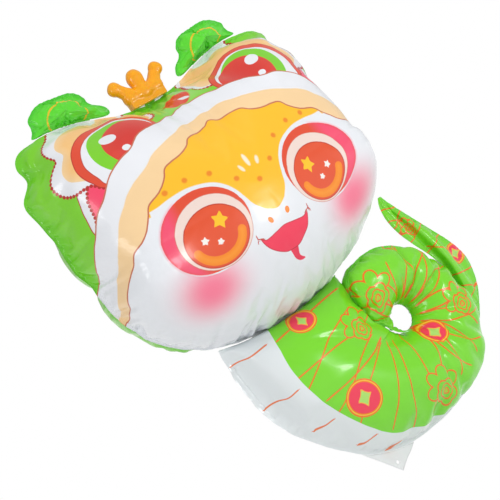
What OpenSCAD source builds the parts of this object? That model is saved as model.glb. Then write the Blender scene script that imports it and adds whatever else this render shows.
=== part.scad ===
// Inflated foil figure: a cartoon snake in a lion hood, sitting on its own coil.
// Every balloon is two sheets of film welded round the edge, and the small balloons
// are bonded to the seams of the big ones by short adhesive strips, which flex.
// X runs to the viewer's right, the face looks along -Y, and Z is up.
// The origin is the centre of the ribbon hole in the inflation tab.

/* [Head] */
// Width across the hood
head_w = 544; // [440:2:650]
// Height from the chin to the dip between the brow bulges
head_h = 392; // [320:2:470]
// Thickness of the inflated head from front to back
head_t = 306; // [240:2:360]

/* [Ears] */
// Width of an ear at its base
ear_w = 152; // [120:2:180]
// Height of an ear above its base
ear_h = 57; // [46:1:70]
// Thickness of an inflated ear
ear_t = 44; // [30:1:50]

/* [Crown] */
// Distance between the outer two balls of the crown
crown_w = 84; // [70:1:100]
// Height of the crown from its base to its top
crown_h = 61; // [54:1:74]
// Diameter of the balls on the prongs
crown_ball_d = 25; // [21:1:29]

/* [Body] */
// Size of the coiled body as a share of its usual size
body_size = 1; // [0.83:0.01:1.2]
// Fullness of the coiled body as a share of its usual thickness
body_fill = 1; // [0.8:0.01:1.15]
// Width of the opening in the middle of the coil
eye_w = 46; // [38:1:55]

/* [Tail] */
// Widest width of the tail
tail_w = 49; // [40:1:58]
// Height of the tail from its lower point to its tip
tail_h = 268; // [224:1:320]

/* [Tab] */
// Height of the inflation tab from its tip to the ribbon hole
tab_drop = 16; // [13:1:19]
// Diameter of the ribbon hole
ribbon_hole_d = 6; // [5:0.5:7]

/* [Film] */
// Thickness of the solid that stands in for the film
film_t = 1; // [0.8:0.1:1.2]
// Width of the welded edge outside the inflated part
weld_w = 4; // [3:0.5:5]

/* [Hidden] */

// Directions of the two sheets of a balloon
FRONT = -1;
REAR = 1;

// Film edges of different balloons stay this far apart, and a bond stops short of
// the film that moves on it.
edge_gap = 3;
bond_gap = 0.7;
bond_t = 1.6;
// Power of the curve that a sheet follows from its middle to its weld
fullness = 2.3;

// The head stands over the coil, a little to the left of the tab.
head_x = -22;
neck_z = 289 * body_size;
head_z = neck_z + edge_gap + weld_w + head_h / 2;
head_at = [head_x, 0, head_z];
// The cheeks and chin are a rounded oval, narrower than the hood.
cheek_share = 0.92;
chin_power = 2.3;

// ---- Curves ----

// Point of a Catmull-Rom curve between b and c, at u from 0 to 1
function between(a, b, c, d, u) =
    0.5 * (2 * b + (c - a) * u + (2 * a - 5 * b + 4 * c - d) * u * u
    + (3 * b - a - 3 * c + d) * u * u * u);

// Open smooth curve through pts with n steps in each span, without its last point
function smooth(pts, n) = [
    for (i = [0 : len(pts) - 2])
        let (last = len(pts) - 1)
            for (k = [0 : n - 1])
                between(pts[max(i - 1, 0)], pts[i], pts[i + 1], pts[min(i + 2, last)], k / n)
];

// A closed outline moved outwards by d. The points run anticlockwise as seen from the front.
function outset(pts, d) = [
    for (i = [0 : len(pts) - 1])
        let (
            n = len(pts),
            along = pts[(i + 1) % n] - pts[(i + n - 1) % n],
            out = [along[1], -along[0]] / norm(along)
        )
            pts[i] + d * out
];

// Height of an inflated sheet at a share s of the way from its middle to its weld
function puff(s) = pow(max(1 - pow(min(abs(s), 1), fullness), 0), 0.5);

function reversed(list) = [for (i = [len(list) - 1 : -1 : 0]) list[i]];
function facing(faces, side) = side == REAR ? faces : [for (f = faces) reversed(f)];

// Two triangles for each step of the band between two closed loops of n points
function band(first, second, n) = [
    for (i = [0 : n - 1])
        let (j = (i + 1) % n)
            for (f = [[first[i], second[i], second[j]], [first[i], second[j], first[j]]]) f
];

// ---- One welded sheet over a closed outline ----

// The sheet is a wall film_t thick. Its loops are: rings of the outside from the middle to
// the weld, the two edges of the weld, then rings of the inside from the weld to the middle.
module dome_film(outline, middle, height, weld, side, rings) {
    n = len(outline);
    inside = outset(outline, -film_t);
    edge = outset(outline, weld);
    function at(p, y) = [p[0], side * y, p[1]];
    function ring(pts, s, h) = [for (p = pts) at(middle + s * (p - middle), h)];
    shares = [for (j = [1 : rings]) sin(90 * j / rings)];
    points = concat(
        [at(middle, height)],
        [for (s = shares) each ring(outline, s, film_t + (height - film_t) * puff(s))],
        ring(edge, 1, film_t),
        ring(edge, 1, 0),
        [for (s = reversed(shares)) each ring(inside, s, (height - film_t) * puff(s))],
        [at(middle, height - film_t)]
    );
    loops = 2 * rings + 2;
    last = 1 + loops * n;
    function loop(k) = [for (i = [0 : n - 1]) 1 + k * n + i];
    faces = concat(
        [for (i = [0 : n - 1]) [0, 1 + i, 1 + (i + 1) % n]],
        [for (k = [0 : loops - 2]) each band(loop(k), loop(k + 1), n)],
        [for (i = [0 : n - 1]) [last, last - n + (i + 1) % n, last - n + i]]
    );
    polyhedron(points = points, faces = facing(faces, side), convexity = 8);
}

// ---- One welded sheet over a row of stations ----

// A station is [outer point, inner point, half thickness, forward shift of the outer edge,
// outer weld width, how far it follows the chin's curve].
// across gives the steps from the inner edge to the outer edge.
function cross_share(m, across) = -cos(180 * m / across);

function straight_point(station, t) = station[1] + (station[0] - station[1]) * (t + 1) / 2;
function flat_point(station, t) = let (p = straight_point(station, t))
    p + [0, station[5] == 0 ? 0 : station[5] * under_chin(p[0] - head_x)];
// The border runs up the outer edge, over the last station, down the inner edge and
// back over the first station.
function border_of(k_last, across) = concat(
    [for (k = [0 : k_last]) [k, across]],
    [for (m = [across - 1 : -1 : 0]) [k_last, m]],
    [for (k = [k_last - 1 : -1 : 0]) [k, 0]],
    [for (m = [1 : across - 1]) [0, m]]
);
function rim_of(stations, across) = [
    for (b = border_of(len(stations) - 1, across))
        flat_point(stations[b[0]], cross_share(b[1], across))
];
function moved(rim, d) = let (unit = outset(rim, 1))
    [for (i = [0 : len(rim) - 1]) rim[i] + d[i] * (unit[i] - rim[i])];
function edge_of(stations, across, inner_weld) = moved(rim_of(stations, across), [
    for (b = border_of(len(stations) - 1, across)) b[1] == across ? stations[b[0]][4] : inner_weld
]);

module strip_film(stations, side, across, inner_weld) {
    k_last = len(stations) - 1;
    row = across + 1;
    grid = row * (k_last + 1);
    function at(p, k, t, y) = [p[0], side * y - stations[k][3] * (t + 1) / 2, p[1]];
    function at_border(p, b, y) = at(p, b[0], cross_share(b[1], across), y);
    border = border_of(k_last, across);
    n = len(border);
    edge = edge_of(stations, across, inner_weld);
    inside = moved(rim_of(stations, across), [for (b = border) -film_t]);
    function lift(k, t) = stations[k][2] * puff(t);
    outer_points = [
        for (k = [0 : k_last]) for (m = [0 : across])
            let (t = cross_share(m, across))
                at(flat_point(stations[k], t), k, t, film_t + lift(k, t))
    ];
    function on_border(k, m) = k == 0 || k == k_last || m == 0 || m == across;
    function border_index(k, m) = [for (i = [0 : n - 1]) if (border[i] == [k, m]) i][0];
    inner_points = [
        for (k = [0 : k_last]) for (m = [0 : across])
            let (t = cross_share(m, across))
                on_border(k, m)
                    ? at(inside[border_index(k, m)], k, t, 0)
                    : at(flat_point(stations[k], t), k, t, lift(k, t))
    ];
    points = concat(
        outer_points, inner_points,
        [for (i = [0 : n - 1]) at_border(edge[i], border[i], film_t)],
        [for (i = [0 : n - 1]) at_border(edge[i], border[i], 0)]
    );
    cells = [
        for (k = [0 : k_last - 1]) for (m = [0 : across - 1])
            let (a = k * row + m, b = a + row)
                for (f = [[a, b + 1, b], [a, a + 1, b + 1]]) f
    ];
    rim_outside = [for (b = border) b[0] * row + b[1]];
    rim_inside = [for (i = rim_outside) i + grid];
    edge_outside = [for (i = [0 : n - 1]) 2 * grid + i];
    edge_seam = [for (i = [0 : n - 1]) 2 * grid + n + i];
    faces = concat(
        cells,
        [for (f = cells) reversed([for (i = f) i + grid])],
        band(rim_outside, edge_outside, n),
        band(edge_outside, edge_seam, n),
        band(edge_seam, rim_inside, n)
    );
    polyhedron(points = points, faces = facing(faces, side), convexity = 8);
}

// ---- Head ----

// Right half of the head's outline, in half widths and half heights from its middle
hood_points = [
    [0.92, 0], [0.955, 0.16], [0.965, 0.5], [1, 0.75], [0.975, 0.93], [0.89, 1.12],
    [0.74, 1.17], [0.56, 1.165], [0.38, 1.105], [0.2, 1.03], [0.08, 1.004], [0, 1]
];
chin_steps = 16;
chin_half = [
    for (i = [0 : chin_steps - 1])
        let (a = 90 * i / chin_steps)
            [cheek_share * pow(sin(a), 2 / chin_power), -pow(cos(a), 2 / chin_power)]
];
head_half = concat(chin_half, smooth(hood_points, 2), [[0, 1]]);
head_outline = [
    for (p = concat(head_half, [for (i = [len(head_half) - 2 : -1 : 1]) [-head_half[i][0], head_half[i][1]]]))
        [p[0] * head_w / 2, p[1] * head_h / 2]
];
head_rings = 9;

// Height of the chin's weld at a distance x from the middle of the head
function chin_z(x) =
    head_z - head_h / 2 * pow(1 - pow(abs(x) / (cheek_share * head_w / 2), chin_power), 1 / chin_power);
module head_film(side) {
    translate(head_at)
        dome_film(head_outline, [0, 0], head_t / 2, weld_w, side, head_rings);
}
module head_front_film() color([0.93, 0.94, 0.95]) head_film(FRONT);
module head_rear_film() color([0.55, 0.84, 0.3]) head_film(REAR);

// A strip of adhesive that lies against the head's weld from x0 to x1, above or below its middle
module head_bond(x0, x1, top) {
    reach = head_w;
    translate(head_at)
        rotate([90, 0, 0])
            translate([0, 0, -bond_t / 2])
                linear_extrude(bond_t)
                    intersection() {
                        difference() {
                            polygon(outset(head_outline, weld_w + edge_gap - bond_gap));
                            polygon(outset(head_outline, weld_w));
                        }
                        translate([x0, top ? 0 : -reach])
                            square([x1 - x0, reach]);
                    }
}
module left_ear_adhesive_strip() color("gainsboro")
    head_bond(-ear_x - ear_bond / 2, -ear_x + ear_bond / 2, true);
module right_ear_adhesive_strip() color("gainsboro")
    head_bond(ear_x - ear_bond / 2, ear_x + ear_bond / 2, true);
module crown_adhesive_strip() color("gainsboro")
    head_bond(-crown_bond / 2, crown_bond / 2, true);
module neck_adhesive_strip() color("gainsboro")
    head_bond(-neck_bond / 2, neck_bond / 2, false);

// ---- Valve strips ----

// Two narrow strips inside a balloon close on each other and hold the gas in.
valve_w = 16;
valve_l = 70;
valve_t = 0.6;
// Height at which the lower side of a closed outline crosses x
function foot_z(outline, x) = min([
    for (i = [0 : len(outline) - 1])
        let (a = outline[i], b = outline[(i + 1) % len(outline)])
            if ((a[0] <= x) != (b[0] <= x)) a[1] + (b[1] - a[1]) * (x - a[0]) / (b[0] - a[0])
]);
// One strip that stands on the weld at x, inside a balloon with the given inner outline
module valve_strip(inside, x, side) {
    foot = [for (s = [-0.5, 0.5]) [x + s * valve_w, foot_z(inside, x + s * valve_w) + film_t / 2]];
    rotate([90, 0, 0])
        translate([0, 0, side == FRONT ? 0 : -valve_t])
            linear_extrude(valve_t)
                polygon([foot[0], foot[1], foot[1] + [0, valve_l], foot[0] + [0, valve_l]]);
}
module head_valve(side) {
    translate(head_at)
        valve_strip(outset(head_outline, -film_t), 0, side);
}
module head_valve_front_strip() color("white") head_valve(FRONT);
module head_valve_rear_strip() color("white") head_valve(REAR);

// ---- Ears ----

ear_x = 141;
ear_bond = 70;
ear_rings = 5;
// Outline of the viewer's right ear, in half widths and heights from the middle of its base
ear_points = [
    [0.9, 0.26], [0.72, 0.47], [0.68, 0.76], [0.36, 1], [-0.03, 0.97], [-0.38, 0.91],
    [-0.56, 0.7], [-0.62, 0.42], [-0.84, 0.24], [-0.94, 0.02]
];
// The base of the ear follows the hood at the given distance.
ear_base_steps = 8;
ear_base = [
    for (i = [1 : ear_base_steps - 1])
        let (
            hood = outset(head_outline, weld_w + edge_gap + film_t),
            x = ear_x + ear_w / 2 * (-0.94 + 1.84 * i / ear_base_steps),
            above = [for (p = hood) if (p[1] > 0.4 * head_h && p[0] > 0) p],
            near = [for (j = [0 : len(above) - 2]) if (above[j][0] >= x && above[j + 1][0] < x) j][0],
            a = above[near],
            b = above[near + 1]
        )
            [x, a[1] + (b[1] - a[1]) * (a[0] - x) / (a[0] - b[0])]
];
ear_foot = 222 / 392 * head_h;
ear_lobes = [for (p = smooth(ear_points, 3)) [ear_x + p[0] * ear_w / 2, ear_foot + p[1] * ear_h]];
ear_tip = [ear_x - 0.94 * ear_w / 2, ear_foot + 0.02 * ear_h];
ear_outline = concat(ear_lobes, [ear_tip], ear_base);
ear_middle = [ear_x + 1, ear_foot + 0.5 * ear_h];

module ear_film(side) {
    translate(head_at)
        dome_film(ear_outline, ear_middle, ear_t / 2, film_t, side, ear_rings);
}
module left_ear_film(side) {
    translate([head_x, 0, 0])
        mirror([1, 0, 0])
            translate([-head_x, 0, 0])
                ear_film(side);
}
module left_ear_front_film() color([0.31, 0.84, 0.16]) left_ear_film(FRONT);
module left_ear_rear_film() color([0.31, 0.84, 0.16]) left_ear_film(REAR);
module right_ear_front_film() color([0.31, 0.84, 0.16]) ear_film(FRONT);
module right_ear_rear_film() color([0.31, 0.84, 0.16]) ear_film(REAR);

// ---- Crown ----

crown_bond = 20;
// The crown is two bars, one over the other, with three prongs that end in balls.
crown_bars = [[12.5, 46, 12], [27, 54, 11]];
prong_foot = 24;
prong_r = 9.5;
// The bars' round ends reach lowest.
bar_end = 0.5;
crown_foot = head_h / 2 + weld_w + edge_gap - bar_end;
crown_top = crown_foot + crown_h;
outer_ball_drop = 8;

// Solid outline of the crown, smaller all over by inset
module crown_solid(inset) {
    ball_r = crown_ball_d / 2;
    ball_z = crown_top - ball_r;
    for (bar = crown_bars) {
        for (side = [-1, 1])
            translate([side * bar[1] / 2, 0, crown_foot + bar[0]])
                sphere(r = bar[2] + bar_end - inset, $fn = 24);
        translate([-bar[1] / 2, 0, crown_foot + bar[0]])
            rotate([0, 90, 0])
                cylinder(r = bar[2] - inset, h = bar[1], $fn = 24);
    }
    for (side = [-1, 0, 1]) {
        foot = [side * prong_foot, 0, crown_foot + crown_bars[1][0]];
        top = [side * crown_w / 2, 0, ball_z - abs(side) * outer_ball_drop];
        lean = atan2(top[0] - foot[0], top[2] - foot[2]);
        translate(foot)
            rotate([0, lean, 0])
                cylinder(r = prong_r - inset, h = norm(top - foot), $fn = 24);
        translate(top)
            sphere(r = ball_r - inset, $fn = 24);
    }
}
module crown_film(side) {
    reach = 2 * crown_w;
    translate(head_at)
        intersection() {
            difference() {
                crown_solid(0);
                crown_solid(film_t);
            }
            translate([-reach / 2, side == FRONT ? -reach : 0, 0])
                cube([reach, reach, 2 * reach]);
        }
}
module crown_front_film() color([1, 0.66, 0.08]) crown_film(FRONT);
module crown_rear_film() color([1, 0.66, 0.08]) crown_film(REAR);

// ---- Coiled body ----

neck_bond = 150;
body_across = 14;
// Distance down the neck over which the body fills out
neck_close = 75;
// Middle of the coil's opening
eye_at = [154, 181];
eye_r = eye_w / 2;
// The neck's stations: how far down, and the outer and inner edges
neck_stations = [
    [0, -134, 115], [4, -134, 113], [12, -135, 109], [24, -136, 105], [42, -136, 101],
    [66, -134, 101], [92, -129, 109], [122, -119, 127]
];
// The coil's stations: the angle round the opening, the outer radius and the inner radius
// as a share of the opening's
coil_stations = [
    [190, 280, 2.25], [204, 252, 1.9], [218, 232, 1.6], [233, 207, 1.4], [248, 184, 1.12],
    [264, 170, 1], [280, 163, 1], [298, 158, 1], [316, 152, 1], [334, 143, 1], [352, 132, 1],
    [370, 125, 1], [388, 121, 1], [406, 119, 1], [424, 118, 1], [442, 119, 1], [458, 121, 1],
    [472, 124, 1], [484, 122, 1], [496, 100, 1], [507, 86, 1], [518, 72, 1], [530, 50, 1],
    [545, 42, 0.98], [560, 35, 0.96], [575, 30, 0.95], [590, 26, 0.95]
];
// The free end of the coil stands forward, over the edge of the neck.
curl_forward = 26;
curl_from = 375;
curl_full = 480;
function curl(a) =
    a < curl_from ? 0
    : a > curl_full ? curl_forward
    : curl_forward * (1 - cos(180 * (a - curl_from) / (curl_full - curl_from))) / 2;

function half_thickness(w) = body_fill * min(0.95 * w, 16 + 0.6 * w);
function filled(d) = d >= neck_close ? 1 : sqrt(1 - pow(1 - d / neck_close, 2));
// The neck's top edge follows the chin, and this curve fades out down the neck.
function under_chin(x) = chin_z(x) - chin_z(0);
function neck_follows(d) = exp(-d / 30);
function neck_point(d, x) = [head_x + x * body_size, neck_z - film_t - d * body_size];
function coil_point(a, r) =
    eye_at * body_size + r * [cos(a), sin(a)];
function coil_weld(a) = a < 470 ? weld_w : film_t;

body_stations = concat(
    [
        for (s = neck_stations)
            let (outer = neck_point(s[0], s[1]), inner = neck_point(s[0], s[2]))
                [outer, inner, half_thickness(norm(outer - inner) / 2) * filled(s[0]), 0, weld_w,
                    neck_follows(s[0])]
    ],
    [
        for (s = coil_stations)
            let (outer = coil_point(s[0], s[1] * body_size), inner = coil_point(s[0], s[2] * eye_r))
                [outer, inner, half_thickness(norm(outer - inner) / 2), curl(s[0]), coil_weld(s[0]), 0]
    ]
);
module body_front_film() color([0.49, 0.86, 0.18]) strip_film(body_stations, FRONT, body_across, film_t);
module body_rear_film() color([0.49, 0.86, 0.18]) strip_film(body_stations, REAR, body_across, film_t);

module body_valve(side) {
    rim = rim_of(body_stations, body_across);
    valve_strip(moved(rim, [for (p = rim) -film_t]), 0, side);
}
module body_valve_front_strip() color("white") body_valve(FRONT);
module body_valve_rear_strip() color("white") body_valve(REAR);

body_edge = edge_of(body_stations, body_across, film_t);

// ---- Bonds of the coil and the tail ----

// The free end of the coil is stuck to the neck by a foam pad that the two films squeeze.
pad_at = [80, -17, 245];
pad_size = [9, 14, 30];
module coil_adhesive_pad() color("gainsboro")
    translate(pad_at * body_size)
        cube(pad_size, center = true);

// The body's stations that the tail is bonded along
tail_bond_at = [17 : 19];
module tail_adhesive_strip() color("gainsboro") {
    beyond = outset(body_edge, edge_gap - bond_gap);
    rotate([90, 0, 0])
        translate([0, 0, -bond_t / 2])
            linear_extrude(bond_t)
                polygon(concat(
                    [for (k = tail_bond_at) body_edge[k]],
                    reversed([for (k = tail_bond_at) beyond[k]])
                ));
}

// ---- Inflation tab ----

tab_t = 2 * film_t;
tab_points = [[0, -tab_drop], [46, 8], [60, 60], [-50, 90], [-60, 62]];
module inflation_tab() color([0.93, 0.94, 0.95])
    rotate([90, 0, 0])
        translate([0, 0, -tab_t / 2])
            difference() {
                linear_extrude(tab_t)
                    difference() {
                        polygon(tab_points);
                        polygon(body_edge);
                    }
                translate([0, 0, -tab_t])
                    cylinder(d = ribbon_hole_d, h = 3 * tab_t, $fn = 48);
            }

// ---- Tail ----

tail_across = 6;
tail_foot = 98;
tail_usual_w = 49;
// The tail's stations: the share of its height, and the outer and inner edges
tail_shape = [
    [0, 292, 288], [0.08, 309, 291], [0.19, 328, 293], [0.32, 338, 292.5], [0.42, 336, 287],
    [0.53, 324, 274], [0.64, 307, 258], [0.75, 290, 245], [0.86, 273, 239], [0.95, 260, 242],
    [1, 254, 249]
];
tail_stations = [
    for (s = tail_shape)
        let (
            z = tail_foot * body_size + s[0] * tail_h,
            inner = s[2] * body_size,
            width = (s[1] - s[2]) * tail_w / tail_usual_w
        )
            [[inner + width, z], [inner, z], 0.4 * width, 0, film_t, 0]
];
module tail_front_film() color([0.49, 0.86, 0.18]) strip_film(tail_stations, FRONT, tail_across, film_t);
module tail_rear_film() color([0.49, 0.86, 0.18]) strip_film(tail_stations, REAR, tail_across, film_t);

head_front_film();
head_rear_film();
head_valve_front_strip();
head_valve_rear_strip();
left_ear_front_film();
left_ear_rear_film();
right_ear_front_film();
right_ear_rear_film();
crown_front_film();
crown_rear_film();
left_ear_adhesive_strip();
right_ear_adhesive_strip();
crown_adhesive_strip();
neck_adhesive_strip();
body_front_film();
body_rear_film();
body_valve_front_strip();
body_valve_rear_strip();
inflation_tab();
coil_adhesive_pad();
tail_adhesive_strip();
tail_front_film();
tail_rear_film();
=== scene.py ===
import math

import bmesh
import bpy
import numpy as np
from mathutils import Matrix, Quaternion, Vector
from mathutils.geometry import delaunay_2d_cdt


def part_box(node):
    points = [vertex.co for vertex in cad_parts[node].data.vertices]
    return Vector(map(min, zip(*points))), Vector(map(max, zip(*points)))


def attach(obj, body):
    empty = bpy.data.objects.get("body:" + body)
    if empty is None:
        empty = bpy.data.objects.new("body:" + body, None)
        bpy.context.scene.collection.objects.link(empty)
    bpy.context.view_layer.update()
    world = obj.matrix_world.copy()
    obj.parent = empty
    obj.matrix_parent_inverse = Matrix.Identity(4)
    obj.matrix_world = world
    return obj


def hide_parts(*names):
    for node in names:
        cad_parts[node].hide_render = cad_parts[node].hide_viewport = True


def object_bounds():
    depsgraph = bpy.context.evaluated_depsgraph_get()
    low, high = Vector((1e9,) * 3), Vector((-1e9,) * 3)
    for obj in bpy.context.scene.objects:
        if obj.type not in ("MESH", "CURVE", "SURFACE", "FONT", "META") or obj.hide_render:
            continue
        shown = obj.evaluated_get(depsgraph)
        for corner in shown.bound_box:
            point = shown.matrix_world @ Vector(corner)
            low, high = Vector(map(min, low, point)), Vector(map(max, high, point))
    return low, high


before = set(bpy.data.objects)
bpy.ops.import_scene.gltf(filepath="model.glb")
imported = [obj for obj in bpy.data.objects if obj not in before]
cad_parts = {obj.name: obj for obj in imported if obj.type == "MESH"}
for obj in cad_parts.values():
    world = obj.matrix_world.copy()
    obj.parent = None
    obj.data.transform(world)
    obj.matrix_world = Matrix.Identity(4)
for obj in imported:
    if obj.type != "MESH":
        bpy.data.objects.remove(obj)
cad_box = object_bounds()
MM = 0.001

# ---- Sizes of the balloons, as the frame has them ----

# Seams lie in the plane y = 0. X and Z lists below are in millimetres.
HEAD_BOX = (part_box("head_front_film"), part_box("head_rear_film"))
WELD = 4 * MM
HEAD_HALF_W = (HEAD_BOX[0][1][0] - HEAD_BOX[0][0][0]) / 2 - WELD
HEAD_X = (HEAD_BOX[0][1][0] + HEAD_BOX[0][0][0]) / 2
HEAD_DEPTH = -HEAD_BOX[0][0][1]
HEAD_HALF_H = 196 * MM
HEAD_Z = HEAD_BOX[0][0][2] + WELD + HEAD_HALF_H
FULLNESS = 2.3


# ---- Curves ----

def smooth(points, steps, closed=False):
    """Catmull-Rom curve through points, with steps points in each span."""
    pts = np.asarray(points, float)
    if closed:
        pts = np.concatenate([pts[-1:], pts, pts[:2]])
    else:
        pts = np.concatenate([2 * pts[:1] - pts[1:2], pts, 2 * pts[-1:] - pts[-2:-1]])
    u = np.linspace(0, 1, steps, endpoint=False)[:, None]
    spans = []
    for a, b, c, d in zip(pts[:-3], pts[1:-2], pts[2:-1], pts[3:]):
        bend = (2 * a - 5 * b + 4 * c - d) * u**2 + (3 * b - a - 3 * c + d) * u**3
        spans.append(0.5 * (2 * b + (c - a) * u + bend))
    if not closed:
        spans.append(pts[-2:-1])
    return np.concatenate(spans)


def puff(share):
    """Height of an inflated sheet at a share of the way from its middle to its weld."""
    return np.sqrt(np.clip(1 - np.abs(share) ** FULLNESS, 0, 1))


MERIDIAN = 1 - (1 - np.linspace(0, 1, 120)) ** 3


def arc_of(reach, height):
    """Length of film over each step of a meridian, from the middle to the weld."""
    run = np.hypot(np.diff(MERIDIAN) * reach, np.diff(puff(MERIDIAN)) * height)
    return np.concatenate([[0], np.cumsum(run)])


# ---- Inflation ----

def inflate(name, flat, drawn, faces, weld, pressure, frames):
    """Points of a welded balloon once gas fills it. The weld draws in from its place in
    the flat sheets to its place on the full balloon, so the spare film gathers there."""
    mesh = bpy.data.meshes.new(name)
    mesh.from_pydata(flat.tolist(), [], faces)
    obj = bpy.data.objects.new(name, mesh)
    bpy.context.collection.objects.link(obj)
    obj.shape_key_add(name="flat")
    key = obj.shape_key_add(name="drawn")
    key.data.foreach_set("co", drawn.ravel())
    key.value = 0
    key.keyframe_insert("value", frame=1)
    key.value = 1
    key.keyframe_insert("value", frame=frames * 2 // 3)
    group = obj.vertex_groups.new(name="weld")
    group.add([int(i) for i in weld], 1, "REPLACE")
    cloth = obj.modifiers.new("Cloth", "CLOTH")
    film = cloth.settings
    film.quality = 5
    film.mass = 0.02
    film.tension_stiffness = 60
    film.compression_stiffness = 20
    film.shear_stiffness = 10
    film.bending_stiffness = 0.01
    film.use_pressure = True
    film.uniform_pressure_force = pressure
    film.vertex_group_mass = "weld"
    film.pin_stiffness = 5
    film.effector_weights.gravity = 0
    cloth.collision_settings.use_self_collision = False
    cloth.collision_settings.use_collision = False
    cloth.point_cache.frame_start = 1
    cloth.point_cache.frame_end = frames
    scene = bpy.context.scene
    scene.frame_start = 1
    scene.frame_end = frames
    for step in range(1, frames + 1):
        scene.frame_set(step)
    settled = obj.evaluated_get(bpy.context.evaluated_depsgraph_get()).data
    points = np.empty(len(settled.vertices) * 3, np.float32)
    settled.vertices.foreach_get("co", points)
    scene.frame_set(1)
    bpy.data.objects.remove(obj)
    bpy.data.meshes.remove(mesh)
    return points.reshape(-1, 3).astype(float)


def film_object(name, points, faces, flat, levels, extra=None):
    """One sheet of film as its own object. flat is where each point lies on the sheet before
    inflation, and extra holds other values that the film's print needs."""
    mesh = bpy.data.meshes.new(name)
    mesh.from_pydata(points.tolist(), [], faces)
    obj = bpy.data.objects.new(name, mesh)
    bpy.context.collection.objects.link(obj)
    values = {"flat_x": flat[:, 0], "flat_z": flat[:, 1]}
    values.update(extra or {})
    for key, value in values.items():
        mesh.attributes.new(key, "FLOAT", "POINT").data.foreach_set("value", value.astype(np.float32))
    bpy.ops.object.select_all(action="DESELECT")
    obj.select_set(True)
    bpy.context.view_layer.objects.active = obj
    if levels:
        finer = obj.modifiers.new("Finer", "SUBSURF")
        finer.levels = levels
        finer.render_levels = levels
        bpy.ops.object.modifier_apply(modifier="Finer")
    obj.data.shade_smooth()
    return obj


def values_of(obj, key):
    out = np.empty(len(obj.data.vertices), np.float32)
    obj.data.attributes[key].data.foreach_get("value", out)
    return out.astype(float)


def points_of(obj):
    out = np.empty(len(obj.data.vertices) * 3, np.float32)
    obj.data.vertices.foreach_get("co", out)
    return out.reshape(-1, 3).astype(float)


def normals_of(obj):
    out = np.empty(len(obj.data.vertices) * 3, np.float32)
    obj.data.vertex_normals.foreach_get("vector", out)
    return out.reshape(-1, 3).astype(float)


def move_points(obj, points):
    obj.data.vertices.foreach_set("co", points.astype(np.float32).ravel())
    obj.data.update()


def store(obj, key, value):
    layer = obj.data.attributes.get(key) or obj.data.attributes.new(key, "FLOAT", "POINT")
    layer.data.foreach_set("value", np.asarray(value, np.float32))


def gathers(run, depth, length, pitch, seed, closed=True, longest=60 * MM):
    """How strongly the film is creased at each point: 1 in the middle of the deepest crease at
    the weld, and 0 away from it. run is the way along the weld and depth the way in from it."""
    rng = np.random.default_rng(seed)
    count = max(int(length / pitch), 3)
    total = np.zeros(len(run))
    for i in range(count):
        middle = (i + rng.uniform(-0.3, 0.3)) * length / count
        strength = rng.uniform(0.25, 1) ** 1.4
        reach = rng.uniform(0.12, 1) ** 2 * longest + 7 * MM
        lean = rng.uniform(-0.25, 0.25)
        wide = rng.uniform(1.6, 3.2) * MM
        inward = np.clip(depth, 0, None)
        off = run - middle - lean * inward
        if closed:
            off = (off + length / 2) % length - length / 2
        total += strength * np.exp(-((off / (wide + 0.07 * inward)) ** 2)) * np.exp(-inward / reach)
    return total


# ---- Balloons over a closed outline ----

def disk(rings):
    """A disk of triangles in hexagonal rings: the share of the radius and the direction of each
    point, and the faces."""
    shares = [0.0]
    turns = [0.0]
    for ring in range(1, rings + 1):
        for i in range(6 * ring):
            shares.append(ring / rings)
            turns.append(math.pi * i / (3 * ring))
    faces = []
    for ring in range(1, rings + 1):
        first = 1 + 3 * ring * (ring - 1)
        before = 1 + 3 * (ring - 1) * (ring - 2)
        for side in range(6):
            for i in range(ring):
                outer = first + (side * ring + i) % (6 * ring)
                following = first + (side * ring + i + 1) % (6 * ring)
                inner = before + (side * (ring - 1) + i) % (6 * (ring - 1)) if ring > 1 else 0
                faces.append((inner, outer, following))
                if i < ring - 1:
                    next_inner = before + (side * (ring - 1) + i + 1) % (6 * (ring - 1))
                    faces.append((inner, following, next_inner))
    return np.array(shares), np.array(turns), faces


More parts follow.
